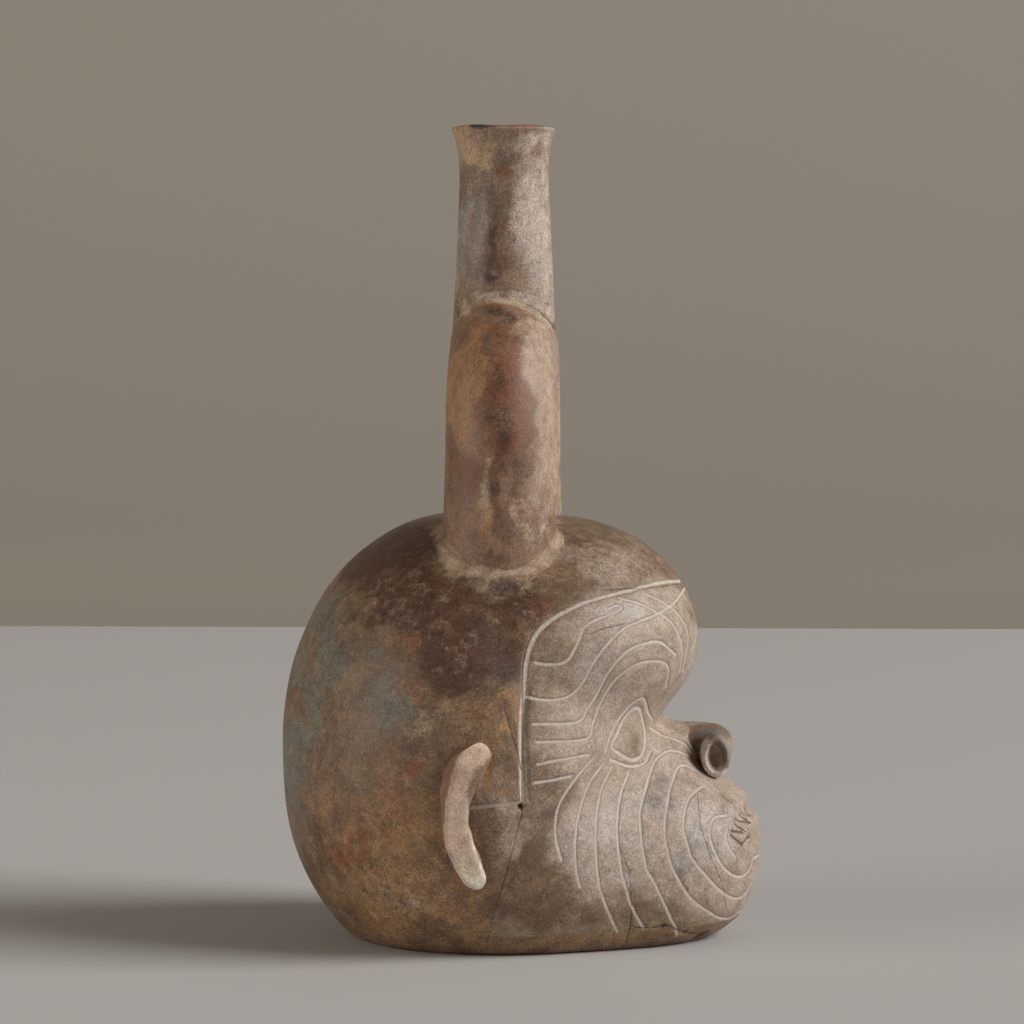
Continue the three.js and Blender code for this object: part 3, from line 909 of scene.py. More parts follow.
@dataclass(frozen=True)
class SlipFinish:
    """A fired clay slip: a mottled ground with layers of other colours, fine specks and a shiny or matt face."""

    name: str
    ground: str
    mottle: str
    layers: tuple[Layer, ...]
    mottle_mm: float = 9.0
    shade_mm: float = 4.0
    flock_mm: float = 13.0
    flock_weight: float = 0.9
    speck: str = "#8f7c6a"
    pit: str = "#4a3b30"
    speck_mm: float = 0.8
    speck_share: float = 0.36
    pit_share: float = 0.45
    line_pale: str = "#d6cabd"
    line_dark: str = "#33261c"
    line_bank: str = "#67523f"
    line_depth_mm: float = 0.2
    stroke_depth_mm: float = 0.4
    bank_share: float = 0.22
    roughness: float = 0.5
    polished: float = 0.1
    dulled: float = 0.14
    matt_roughness: float = 0.85
    stretch: float = 1.0
    contrast: float = 0.3
    grit_mm: float = 0.55
    grit_contrast: float = 0.42
    grit_depth_mm: float = 0.18

    def noises(self, tree: NodeTree) -> dict[str, NodeSocket]:
        """Adds the noises of the clay, on Object coordinates.

        Args:
            tree: Node tree of the finish.

        Returns:
            Socket of each noise: the finish's own by name, and each layer's grain by its tone.
        """
        place = add(tree, "ShaderNodeTexCoord").outputs["Object"]
        drawn_out = add(tree, "ShaderNodeMapping", {"Vector": place, "Scale": (1, 1, 1 / self.stretch)}).outputs[0]
        kinds = {
            # Burnishing leaves the slip mottled at the width of a fingertip and again at a few millimetres
            "mottle": (drawn_out, self.mottle_mm, 8.0, 0.72),
            "shade": (drawn_out, self.shade_mm, 8.0, 0.78),
            # Grains of temper, which lie in flocks
            "specks": (place, self.speck_mm, 3.0, 0.65),
            "flocks": (place, self.flock_mm, 5.0, 0.65),
            # Grit of the clay body. At 0.55 mm it is drawn coarser than real grit, so that it shows
            "grit": (place, self.grit_mm, 4.0, 0.7),
        }
        # Each layer's grain comes from another place of the noise
        for number, layer in enumerate(self.layers, 1):
            shift = {0: drawn_out, 1: (0.13 * number, 0.07, 0.05)}
            moved = add(tree, "ShaderNodeVectorMath", shift, operation="ADD").outputs[0]
            kinds[layer.tone.value] = (moved, layer.grain_mm, 9.0, 0.76)
        noises = {}
        for name, (vector, size_mm, detail, roughness) in kinds.items():
            inputs = {"Vector": vector, "Scale": per_mm(size_mm), "Detail": detail, "Roughness": roughness}
            noises[name] = add(tree, "ShaderNodeTexNoise", inputs).outputs[0]
        return noises

    def covers(self, tree: NodeTree, noises: dict[str, NodeSocket]) -> list[tuple[NodeSocket, str]]:
        """Adds what lies over the ground: its mottling, the layers, and the wear of the temper.

        A layer covers where its tone is marked, with edges that its grain breaks up. Pale specks show where the slip
        is rubbed off the temper, and dark pits where grains have dropped out.

        Args:
            tree: Node tree of the finish.
            noises: Sockets of the noises.

        Returns:
            Cover and colour of each coat from the lowest up, with the specks and the pits last.
        """
        levels = [(noises["mottle"], MOTTLE_EDGE, 1.0, self.mottle)]
        for layer in self.layers:
            mark = add(tree, "ShaderNodeAttribute", attribute_name=layer.tone.value).outputs["Fac"]
            grain = noises[layer.tone.value]
            centred = add(tree, "ShaderNodeMath", {0: grain, 1: 0.5}, operation="SUBTRACT").outputs[0]
            inputs = {0: centred, 1: layer.breakup, 2: mark}
            broken = add(tree, "ShaderNodeMath", inputs, operation="MULTIPLY_ADD").outputs[0]
            levels.append((broken, LAYER_EDGE, 1.0, layer.colour))
        inputs = {0: noises["flocks"], 1: self.flock_weight, 2: noises["specks"]}
        temper = add(tree, "ShaderNodeMath", inputs, operation="MULTIPLY_ADD").outputs[0]
        levels.append((temper, SPECK_EDGE, self.speck_share, self.speck))
        levels.append((temper, PIT_EDGE, self.pit_share, self.pit))
        coats = []
        for level, (start, full), most, colour in levels:
            inputs = {0: level, 1: start, 2: full, 4: most}
            cover = add(tree, "ShaderNodeMapRange", inputs, interpolation_type="SMOOTHSTEP")
            coats.append((cover.outputs[0], colour))
        return coats

    def material(self) -> Material:
        """Builds the finish as nodes on Object coordinates and the marks of the mesh.

        Returns:
            The material.
        """
        material = bpy.data.materials.new(self.name)
        material.use_nodes = True
        tree = material.node_tree
        tree.nodes.clear()
        noises = self.noises(tree)
        shade, grit = noises["shade"], noises["grit"]
        coats = self.covers(tree, noises)
        colour = lay_coats(tree, linear(self.ground), coats)
        # Light and dark of the burnishing strokes and of the grit, and a shine where the pebble rubbed
        swings = (
            (shade, 1 - self.contrast, 1 + self.contrast),
            (grit, 1 - self.grit_contrast, 1 + self.grit_contrast),
            (shade, self.roughness - self.polished, self.roughness + self.dulled),
        )
        start, end = NOISE_SPAN
        light, grain, polish = (
            add(tree, "ShaderNodeMapRange", {0: noise, 1: start, 2: end, 3: low, 4: high}).outputs[0]
            for noise, low, high in swings
        )
        value = add(tree, "ShaderNodeMath", {0: light, 1: grain}, operation="MULTIPLY").outputs[0]
        colour = add(tree, "ShaderNodeHueSaturation", {"Value": value, "Color": colour}).outputs[0]
        # Darker banks beside the incised lines, pale clay caught in them, and dark strokes, cracks and chips
        ragged = add(tree, "ShaderNodeMix", {0: 0.5, 2: shade, 3: grit}).outputs[0]
        bank = line_cover(tree, Fill.PALE, ragged, fray=4.0, reach=2.0)
        bank_darkening = add(tree, "ShaderNodeMath", {0: bank, 1: self.bank_share}, operation="MULTIPLY").outputs[0]
        pale = line_cover(tree, Fill.PALE, ragged, fray=3.4, reach=1.15)
        # The dark strokes include painted shade: the band beside the border line
        dark = line_cover(tree, Fill.DARK, ragged, fray=4.0)
        # The chip mark holds real chips and, on the nose, painted shade in the nostril pits
        chip = add(tree, "ShaderNodeAttribute", attribute_name="chip").outputs["Fac"]
        worn = coats[-2][0]
        cracks_and_painted_shade, matt, cut = (
            add(tree, "ShaderNodeMath", {0: one, 1: other}, operation="MAXIMUM").outputs[0]
            for one, other in ((dark, chip), (pale, worn), (pale, dark))
        )
        lines = [(bank_darkening, self.line_bank), (pale, self.line_pale), (cracks_and_painted_shade, self.line_dark)]
        colour = lay_coats(tree, colour, lines)
        # Filled lines and worn specks stay matt
        rough = add(tree, "ShaderNodeMix", {0: matt, 2: polish, 3: self.matt_roughness}).outputs[0]
        # Grit, the strokes of the burnishing pebble and the walls of the incised lines, all too fine for the mesh
        normal: dict[str, NodeSocket] = {}
        for strength, depth_mm, height, invert in (
            (0.6, self.grit_depth_mm, grit, False),
            (0.4, self.stroke_depth_mm, shade, False),
            (1.0, self.line_depth_mm, cut, True),
        ):
            inputs = {"Strength": strength, "Distance": depth_mm * MM, "Height": height, **normal}
            normal = {"Normal": add(tree, "ShaderNodeBump", inputs, invert=invert).outputs[0]}
        inputs = {"Base Color": colour, "Roughness": rough, "IOR": 1.5, **normal}
        shader = add(tree, "ShaderNodeBsdfPrincipled", inputs)
        add(tree, "ShaderNodeOutputMaterial", {"Surface": shader.outputs[0]})
        return material


# Burnished brown slip: low-fired earthenware rubbed with a pebble, so it is mottled and has a soft sheen
BROWN_SLIP = SlipFinish(
    "burnished_brown_slip",
    ground="#816851",
    mottle="#6c5541",
    layers=(
        Layer(Tone.GREY, "#716f63", 11.0, 1.6),
        Layer(Tone.OCHRE, "#96734f", 11.0, 1.6),
        Layer(Tone.RED, "#84543c", 8.0, 1.9),
        Layer(Tone.SOOT_AND_SHADE, "#523729", 9.0, 1.2),
        Layer(Tone.TAN, "#9c8878", 9.0, 1.0),
        Layer(Tone.WASH_AND_LIGHT, "#ada29c", 6.0, 1.5),
        Layer(Tone.CREAM, "#a8957f", 4.0, 1.3),
    ),
    speck="#9a8672",
    speck_mm=2.4,
    speck_share=0.34,
    roughness=0.45,
    contrast=0.34,
    grit_contrast=0.5,
)
# Tan face slip: the same slip, less rubbed between the incised lines, so it shines less
FACE_SLIP = replace(
    BROWN_SLIP,
    name="burnished_tan_face_slip",
    layers=(
        Layer(Tone.RED, "#81543c", 10.0, 1.8),
        Layer(Tone.SOOT_AND_SHADE, "#4b382c", 9.0, 1.2),
        Layer(Tone.TAN, "#a89687", 9.0, 1.0),
        Layer(Tone.OCHRE, "#8c7862", 7.0, 1.3),
        Layer(Tone.GREY, "#817972", 7.0, 1.7),
        Layer(Tone.WASH_AND_LIGHT, "#b1a69f", 6.0, 1.2),
        Layer(Tone.CREAM, "#d2c6b9", 4.0, 1.2),
    ),
    roughness=0.52,
    speck="#b3a292",
    speck_mm=0.8,
    speck_share=0.36,
    pit="#6a5545",
    contrast=0.3,
    grit_contrast=0.4,
)
# Bare clay of the base: the same clay scraped and worn on the floor, with no shine
BARE_CLAY = replace(BROWN_SLIP, name="worn_bare_clay", roughness=0.65)
# Pale slip of the ears: a chalky wash, matt and pinkish
PALE_SLIP = SlipFinish(
    "matt_pale_slip",
    ground="#c6ae9a",
    mottle="#b89e89",
    layers=(
        Layer(Tone.CREAM, "#d8cab8", 4.0),
        Layer(Tone.SOOT_AND_SHADE, "#856b53", 5.0),
        Layer(Tone.RED, "#85604f", 5.0, 0.8),
    ),
    speck="#cdbfb0",
    pit="#8a7260",
    roughness=0.75,
    contrast=0.2,
    grit_contrast=0.26,
    grit_depth_mm=0.35,
)
# Red-brown slip of the stirrup: rubbed along the tube, so its streaks run lengthwise
STIRRUP_SLIP = SlipFinish(
    "burnished_red_slip",
    ground="#886a54",
    mottle="#765845",
    layers=(
        Layer(Tone.RED, "#784a34", 10.0, 1.3),
        Layer(Tone.OCHRE, "#9d7554", 5.0, 1.0),
        Layer(Tone.SOOT_AND_SHADE, "#452f24", 8.0, 1.3),
        Layer(Tone.WASH_AND_LIGHT, "#a48a79", 6.0, 0.8),
        Layer(Tone.CREAM, "#b5a089", 3.5, 1.5),
    ),
    roughness=0.46,
    stretch=1.25,
    grit_contrast=0.34,
)
# Luting clay: the same slip over a wet-smoothed coil that was never burnished, so it is matt
LUTING_CLAY = replace(
    STIRRUP_SLIP,
    name="matt_luting_clay",
    ground="#9b826a",
    mottle="#7f664f",
    layers=(*STIRRUP_SLIP.layers[1:-1], Layer(Tone.CREAM, "#b39e86", 3.0, 0.7)),
    roughness=0.7,
)
# Spout slip: the same slip handled and stained, worn pale with dark drips; its pale right side is partly a painted
# highlight
SPOUT_SLIP = SlipFinish(
    "burnished_stained_slip",
    ground="#8f7866",
    mottle="#735f4f",
    layers=(
        Layer(Tone.GREY, "#8b8379", 6.0, 1.4),
        Layer(Tone.CREAM, "#b2a193", 7.0, 0.6),
        Layer(Tone.RED, "#7d4d3a", 4.0, 1.8),
        Layer(Tone.SOOT_AND_SHADE, "#40342c", 6.0, 1.4),
        Layer(Tone.OCHRE, "#a98f70", 4.0, 1.6),
    ),
    roughness=0.48,
    stretch=1.25,
    contrast=0.32,
    grit_contrast=0.5,
    grit_depth_mm=0.3,
)


@dataclass
class Head:
    """The hollow head: a base, the shell of the cranium and the face let into its front. Sizes in millimetres."""

    form: HeadForm
    face_form: FaceForm
    weathering_and_painted_light: WeatheringAndPaintedLight
    wall: float = 5.5
    base_z: float = 6.0
    foot_round: float = 2.2
    chin_undercut: float = 2.8
    undercut_from: float = 0.6
    undercut_span: float = 0.35
    joint_row: float = 0.05
    seam_foot_x: float = -2.0
    seam_back_x: float = 8.0
    seam_lean_z: float = 43.0
    seam_top_z: float = 105.0
    seam_corner: float = 22.0
    stride: int = 6
    mask_rows: int = 330
    mask_columns: int = 282
    wall_rows: int = 132
    wall_columns: int = 336
    front_columns: int = 144
    cap_rows: int = 72
    base_columns: int = 360
    band_rows: int = 8
    round_rows: int = 6
    seam_rows: int = 60
    brow_columns: int = 20
    fine_rows: int = 500
    outline_turns: tuple[float, ...] = (0, 25, 50, 75)
    least_level: float = 0.1
    joint_slack: float = 0.001

    def seam_x(self, z: Array) -> Array:
        """X of the face's edge at a height: a leaning line, an upright one, and a quarter circle at the temple.

        Args:
            z: Heights.

        Returns:
            X at each height.
        """
        lean = (self.seam_back_x - self.seam_foot_x) / (self.seam_lean_z - self.base_z)
        over = np.clip(z - (self.seam_top_z - self.seam_corner), 0, self.seam_corner)
        corner = self.seam_corner - np.sqrt(self.seam_corner**2 - over**2)
        return self.seam_back_x - lean * np.maximum(self.seam_lean_z - z, 0) + corner

    def seam_turn(self, z: Array) -> Array:
        """Turn about the upright axis at which the face's edge lies, at a height.

        Args:
            z: Heights.

        Returns:
            Turns in radians, from +X.
        """
        x = self.seam_x(z)
        edge = self.form.along(np.stack([x, np.zeros_like(z), z], axis=-1), (0, 1, 0))
        return np.arctan2(edge[..., 1], x - self.form.axis_x)

    def seam_line(self) -> Array:
        """The face's edge on the near side, from the foot up and forward over the brow to the mid-plane.

        Returns:
            Points on the skin, one per row.
        """
        z = np.linspace(self.base_z, self.seam_top_z, self.seam_rows)
        rise = self.form.round(-self.seam_turn(z), z)
        turn = np.linspace(-self.seam_turn(z[-1:])[0], 0, self.brow_columns)[1:]
        return np.vstack([rise, self.form.round(turn, np.full_like(turn, self.seam_top_z))])

    def even_heights(self) -> Array:
        """Heights of the face's rows, spaced evenly along the surface by the mean length of some outlines.

        Returns:
            Heights from the base up.
        """
        z = np.linspace(self.base_z, self.seam_top_z, self.fine_rows)
        outlines = self.face_form.round(np.radians(self.outline_turns)[:, None], z)
        steps = np.linalg.norm(np.diff(outlines, axis=1), axis=-1).mean(0)
        run = np.append(0, np.cumsum(steps))
        heights = np.interp(np.linspace(0, run[-1], self.mask_rows + 1), run, z)
        heights[1] = self.base_z + self.joint_row
        return heights

    def dress(self, points: Array, form: HeadForm, marks: SurfaceMarks) -> tuple[Array, Marks]:
        """Works the skin: unevenness and marks move it along its outward direction, and patches colour it.

        From the base's top down it moves level, by more where the skin leans, so that base and shell still meet.

        Args:
            points: Points on the skin, one per row.
            form: Form that the points lie on.
            marks: Lines and chips.

        Returns:
            Moved points, and what the finish reads there.
        """
        relief, drawn = marks.at(points)
        outward = form.normal(points)
        level = outward * (1, 1, 0)
        level /= np.maximum((level**2).sum(-1, keepdims=True), self.least_level)
        way = np.where(points[:, 2:] < self.base_z + self.joint_slack, level, outward)
        moved = points + way * (relief + unevenness(points))[:, None]
        return moved, {**self.weathering_and_painted_light.at(points), **drawn}

    def thicken(self, moved: Array, skin: Array, marks: Marks, index: Array) -> tuple[Array, Marks]:
        """Adds inner points to the worked skin, the wall's thickness behind some points of the plain one.

        Args:
            moved: Points of the worked skin.
            skin: The same points before it was worked.
            marks: What the finish reads at the points.
            index: Numbers of the points that get an inner one.

        Returns:
            All points and their marks.
        """
        inner = skin[index] - self.form.normal(skin[index]) * self.wall
        whole = {name: np.append(values, values[index]) for name, values in marks.items()}
        return np.vstack([moved, inner]), whole

    def build_face(self, marks: SurfaceMarks, material: Material) -> None:
        """The face: rows at even heights, swept by equal turns from edge to edge, and a coarse inner side.

        Args:
            marks: Lines and chips of the skin.
            material: Finish of the piece.
        """
        z = self.even_heights()[:, None]
        grid = self.face_form.round(np.linspace(-1, 1, self.mask_columns + 1) * self.seam_turn(z), z)
        outer, skin = grid_index(grid), grid.reshape(-1, 3)
        picked = outer[:: self.stride, :: self.stride]
        inner = len(skin) + np.arange(picked.size).reshape(picked.shape)
        moved, seen = self.dress(skin, self.face_form, marks)
        points, seen = self.thicken(moved, skin, seen, picked.ravel())
        faces = grid_faces(outer) + grid_faces(inner)
        edges: Faces = []
        for fine, coarse in ((outer, inner), (outer.T, inner.T)):
            for end in (0, -1):
                edges += rim_faces(fine[end].tolist(), coarse[end].tolist(), self.stride)
        add_piece("incised_face", "face_mask", points, faces, edges, seen, material)

    def build_cranium(self, marks: SurfaceMarks, material: Material) -> None:
        """The cranium: a wall behind the face's edge, and a cap of rings that shrink in plan to a pole.

        Args:
            marks: Lines and chips of the skin.
            material: Finish of the piece.
        """
        z = np.linspace(self.base_z, self.seam_top_z, self.wall_rows + 1)[:, None]
        z[1] = self.base_z + self.joint_row
        start = self.seam_turn(z)
        turn = start + np.linspace(0, 1, self.wall_columns + 1) * (2 * np.pi - 2 * start)
        wall = self.form.round(turn, z)
        turn = np.linspace(-start[-1, 0], start[-1, 0], self.front_columns + 1)[1:-1]
        front = self.form.round(turn, np.full_like(turn, self.seam_top_z))
        ring = np.vstack([wall[-1], front])
        shrink = 1 - np.arange(1, self.cap_rows)[:, None] / self.cap_rows
        x = self.form.axis_x + shrink * (ring[:, 0] - self.form.axis_x)
        cap = self.form.above(x, shrink * ring[:, 1])
        crown = self.form.above(np.array([self.form.axis_x]), np.array([0.0]))
        skin = np.vstack([wall.reshape(-1, 3), front, cap.reshape(-1, 3), crown])
        pole = len(skin) - 1
        wall_index = grid_index(wall)
        front_index = wall_index.size + np.arange(len(front))
        cap_index = wall_index.size + len(front) + grid_index(cap)
        rings = np.vstack([np.append(wall_index[-1], front_index), cap_index])
        moved, seen = self.dress(skin, self.form, marks)
        k = self.stride
        picked_wall, picked_rings = wall_index[::k, ::k], rings[::k, ::k]
        picked = np.unique(np.concatenate([picked_wall.ravel(), picked_rings.ravel(), [pole]]))
        points, seen = self.thicken(moved, skin, seen, picked)
        within = len(skin) + np.searchsorted(picked, np.arange(len(skin)))
        inner_wall, inner_rings = within[picked_wall], within[picked_rings]
        faces: Faces = []
        for sides, top, peak in ((wall_index, rings, pole), (inner_wall, inner_rings, within[pole])):
            faces += grid_faces(sides) + grid_faces(top, close_columns=True) + fan_faces(top[-1], peak)
        brow = np.concatenate([wall_index[-1, -1:], front_index, wall_index[-1, :1]])
        edges: Faces = []
        for fine, coarse in (
            (wall_index[0], inner_wall[0]),
            (wall_index[:, 0], inner_wall[:, 0]),
            (wall_index[:, -1], inner_wall[:, -1]),
            (brow, within[brow[::k]]),
        ):
            edges += rim_faces(fine.tolist(), coarse.tolist(), k)
        add_piece("cranium", "cranium_shell", points, faces, edges, seen, material)

    def build_base(self, marks: SurfaceMarks, material: Material) -> None:
        """The base: the skin's band under the shell, rolled in at the foot by a quarter circle, and a flat underside.

        At the front it is undercut by a smooth step of the cosine of the turn, more towards the floor.

        Args:
            marks: Lines and chips of the skin.
            material: Finish of the piece.
        """
        turn = full_turn(self.base_columns)
        bend = np.linspace(0, np.pi / 2, self.round_rows)[1:]
        band = np.linspace(self.base_z, self.foot_round, self.band_rows)
        band[1] = self.base_z - self.joint_row
        heights = np.append(band, self.foot_round * (1 - np.sin(bend)))
        inset = np.append(np.zeros_like(band), self.foot_round * (1 - np.cos(bend)))
        grid = self.form.round(turn, heights[:, None])
        index, skin = grid_index(grid), grid.reshape(-1, 3)
        moved, seen = self.dress(skin, self.form, marks)
        outward = self.form.normal(skin) * (1, 1, 0)
        outward /= np.linalg.norm(outward, axis=-1, keepdims=True)
        moved -= outward * np.repeat(inset, self.base_columns)[:, None]
        forward = unit((np.cos(turn) - self.undercut_from) / self.undercut_span)
        under = (1 - heights / self.base_z)[:, None] * forward**2 * (3 - 2 * forward)
        moved[:, 0] -= self.chin_undercut * under.ravel()
        faces = grid_faces(index, close_columns=True)
        edges = [index[0].tolist(), index[-1].tolist()]
        add_piece("base", "base_slab", moved, faces, edges, seen, material)


@dataclass
class Nose:
    """The nose: a ridge that ends in two swollen nostrils, each with a deep pit. Sizes in millimetres."""

    weathering_and_painted_light: WeatheringAndPaintedLight
    middle: Triple = (62.0, 0.0, 55.2)
    ridge_place: Triple = (55.5, 0.0, 58.0)
    ridge_size: Triple = (12.0, 8.5, 5.5)
    nostril_place: Triple = (62.9, 8.0, 54.3)
    nostril_size: Triple = (4.35, 5.0, 6.5)
    nostril_power: float = 6.0
    pit_place: Triple = (63.0, 13.2, 54.1)
    pit_size: Triple = (2.8, 3.8, 4.2)
    joint: float = 3.6
    pit_edge: float = 0.7
    far: float = 30.0
    halvings: int = 24
    rows: int = 200
    columns: int = 180

    def share(self, points: Array, place: Triple, size: Triple, power: float = 2.0) -> Array:
        """How many times its own size points lie from the middle of an oval, folded onto one side of the nose.

        Args:
            points: Points in millimetres, on the last axis.
            place: Middle of the oval.
            size: Its half sizes.
            power: Power that squares off its side ends.

        Returns:
            The share of each point, 1 on the oval.
        """
        folded = np.stack([points[..., 0], np.abs(points[..., 1]), points[..., 2]], axis=-1)
        dx, dy, dz = np.moveaxis(np.abs(folded - np.array(place)) / np.array(size), -1, 0)
        return (np.hypot(dx, dz) ** power + dy**power) ** (1 / power)

    def level(self, points: Array) -> Array:
        """How far points lie outside the nose: ridge and nostrils blended, less the pits.

        Args:
            points: Points in millimetres, on the last axis.

        Returns:
            The level of each point, below zero inside: (share - 1) x the oval's least size.
        """
        ridge, nostril, pit = (
            (self.share(points, place, size, power) - 1) * min(size)
            for place, size, power in (
                (self.ridge_place, self.ridge_size, 2.0),
                (self.nostril_place, self.nostril_size, self.nostril_power),
                (self.pit_place, self.pit_size, 2.0),
            )
        )
        return -smooth_min(-smooth_min(ridge, nostril, self.joint), pit, self.pit_edge)

    def build(self, material: Material) -> None:
        """The nose as rays from its middle to where they leave the form, turned about an axis from side to side.

        Args:
            material: Finish of the piece.
        """
        tilt = np.linspace(0, np.pi, self.rows + 1)[1:-1, None]
        turn = full_turn(self.columns)
        ring = np.stack([np.cos(turn), 0 * turn, np.sin(turn)], axis=-1)
        away = np.sin(tilt)[..., None] * ring + np.cos(tilt)[..., None] * (0, 1, 0)
        index = grid_index(away)
        away = np.vstack([away.reshape(-1, 3), [[0, 1, 0], [0, -1, 0]]])
        points = way_out(self.level, np.broadcast_to(self.middle, away.shape), away, self.far, self.halvings)
        faces = grid_faces(index, close_columns=True)
        faces += fan_faces(index[0], index.size) + fan_faces(index[-1], index.size + 1)
        seen = self.weathering_and_painted_light.at(points)
        hollow = self.share(points, self.pit_place, self.pit_size)
        out = np.abs(points[:, 1]) - self.nostril_place[1]
        # Painted shade darkens the deep pits of the nostrils, each in a ring that is pale below and behind and grey
        # above
        seen["chip"] = 0.3 * unit(4 * (1.2 - hollow)) * unit((3.6 - out) / 2.4)
        ring = unit(3 * (2.3 - hollow)) * unit(1.5 * (out - 2.4))
        rise = (points - np.array(self.pit_place))[:, ::2] / np.array(self.pit_size)[::2]
        low = unit(0.7 - 0.5 * rise.sum(-1))
        seen["cream"] = np.maximum(seen["cream"], 0.85 * ring * low)
        seen["grey"] = np.maximum(seen["grey"], 0.8 * ring * (1 - low))
        seen["tan"] *= 1 - unit(1.8 * np.maximum(seen["soot_and_shade"], seen["grey"]))
        add_piece("nose_and_nostrils", "nose", points, faces, [], seen, material)


class Side(Enum):
    """Which of the animal's sides a piece is on, as the sign of Y."""

    RIGHT = -1
    LEFT = 1

    def node(self, name: str) -> str:
        """Name of a CAD node on this side."""
        return f"{self.name.lower()}_{name}"

    def mirror(self, points: Array) -> Array:
        """Points of the near side, put on this side."""
        return points * (1, -self.value, 1)


# The two long edges of an ear's outer face and the foot of its rear wall, from its top down
EAR_REAR_EDGE = (
    (473, 742), (460, 755), (453, 775), (448, 797), (444.5, 818), (443.5, 838), (449, 859), (460, 880), (472, 895),
)
EAR_FRONT_EDGE = (
    (487, 741.5), (493, 753), (487, 770), (477, 788), (470, 806), (469.5, 825), (474, 845), (483, 865), (491, 884),
)
EAR_FOOT_EDGE = (
    (468, 746), (449, 757), (439.5, 772), (437, 792), (438.5, 812), (442, 836), (449, 860), (459.5, 882), (472, 897),
)


@dataclass
class Ears:
    """The ears: crescent strips of clay pressed onto the sides of the head. Sizes in millimetres."""

    form: HeadForm
    camera: PhotoCamera
    rear_stand: float = 6.2
    front_stand: float = 3.0
    front_fall: float = 2.0
    dish: float = 0.12
    sunk: float = 1.5
    squareness: float = 0.6
    bluntness: float = 10.0
    waver: float = 0.5
    lump: float = 0.8
    edge_steps: int = 12
    rows: int = 150
    columns: int = 80

    def edge(self, places: tuple[Pixel, ...], stand: Array, share: Array) -> Array:
        """One edge of the outer face: a smooth line through places of the photograph, on the swollen skin.

        Two sine waves along the edge, some pixels high, make it waver as clay pressed on by hand does.

        Args:
            places: Named places along the edge.
            stand: Height of the edge above the skin at each row.
            share: How far along the edge each row lies, from 0 to 1.

        Returns:
            One point for each row.
        """
        line = smooth_curve(np.array(places, float), self.edge_steps)
        run = np.linspace(0, 1, len(line))
        pixels = np.stack([np.interp(share, run, line[:, i]) for i in range(2)], axis=-1)
        pixels[:, 0] += self.waver * (np.sin(23 * share + line[0, 0]) + np.sin(47 * share + 2 * line[0, 0]))
        return self.camera.on_skin(pixels, replace(self.form, swell=stand))

    def build(self, side: Side, material: Material) -> None:
        """One ear: a rounded square carried from end to end, with its corners on four lines.

        Two lines are the edges of the outer face. The other two are their feet in the skin, the rear one set back in
        the upper half. Each point mixes the four corners, the outer face is dished, and the section shrinks at the
        blunt ends.

        Args:
            side: The animal's side that it is on.
            material: Finish of the piece.
        """
        rise = np.sin(np.linspace(-1, 1, self.rows + 1) * np.pi / 2)[1:-1]
        share = (1 + rise) / 2
        front_stand = self.front_stand - self.front_fall * unit(1 - 3 * share)
        rear = self.edge(EAR_REAR_EDGE, np.full_like(share, self.rear_stand), share)
        front = self.edge(EAR_FRONT_EDGE, front_stand, share)
        rear_foot = self.edge(EAR_FOOT_EDGE, np.full_like(share, -self.sunk), share)
        front_foot = front - self.form.normal(front) * (front_stand + self.sunk)[:, None]
        turn = full_turn(self.columns)
        cos, sin = (np.sign(f(turn)) * np.abs(f(turn)) ** self.squareness for f in (np.cos, np.sin))
        size = (1 - np.abs(rise) ** self.bluntness)[:, None] ** 0.5
        u, v = (1 + size * cos)[..., None] / 2, (1 + size * sin)[..., None] / 2
        v = v - self.dish * 4 * u * (1 - u) * v * size[..., None]
        points = (1 - v) * ((1 - u) * front_foot[:, None] + u * rear_foot[:, None])
        points += v * ((1 - u) * front[:, None] + u * rear[:, None])
        ends = (rear + front + rear_foot + front_foot)[[0, -1]] / 4
        index = grid_index(points)
        points = np.vstack([points.reshape(-1, 3), ends])
        faces = grid_faces(index, close_columns=True)
        faces += fan_faces(index[0], index.size) + fan_faces(index[-1], index.size + 1)
        # Red on the rear wall, painted shade on the front wall, soot on its rubbed edge, cream at the lower end and
        # along the lips
        across, stand, along = u[..., 0], v[..., 0], share[:, None]
        low = unit(3.4 - 3.6 * stand)
        rubbed = unit(1.3 - 1.9 * across) * unit(1 - np.abs(along - 0.3) / 0.24)
        lip = unit(1 - 6 * across) * unit(4 * along - 2) * unit(4 * stand - 2.4)
        tones = {
            "red": unit(3 * across - 2) * low,
            # On the front wall the soot tone, darker towards its foot, is painted shade in the hollow before the ear;
            # on the rubbed edge it is brown speckle
            "soot_and_shade": unit(1.1 - 3 * across) * unit(1.9 - 1.9 * stand) + 0.72 * rubbed,
            "cream": 0.8 * unit(3 * along - 2) + 0.5 * unit(6 * across - 5) * (1 - low) + 0.7 * lip,
        }
        seen = {name: np.append(values, [0, 0]) for name, values in tones.items()}
        points = points + self.lump * unevenness(points)[:, None] * self.form.normal(points)
        node = side.node("ear")
        add_piece(f"{node}_strip", node, side.mirror(points), faces, [], seen, material)


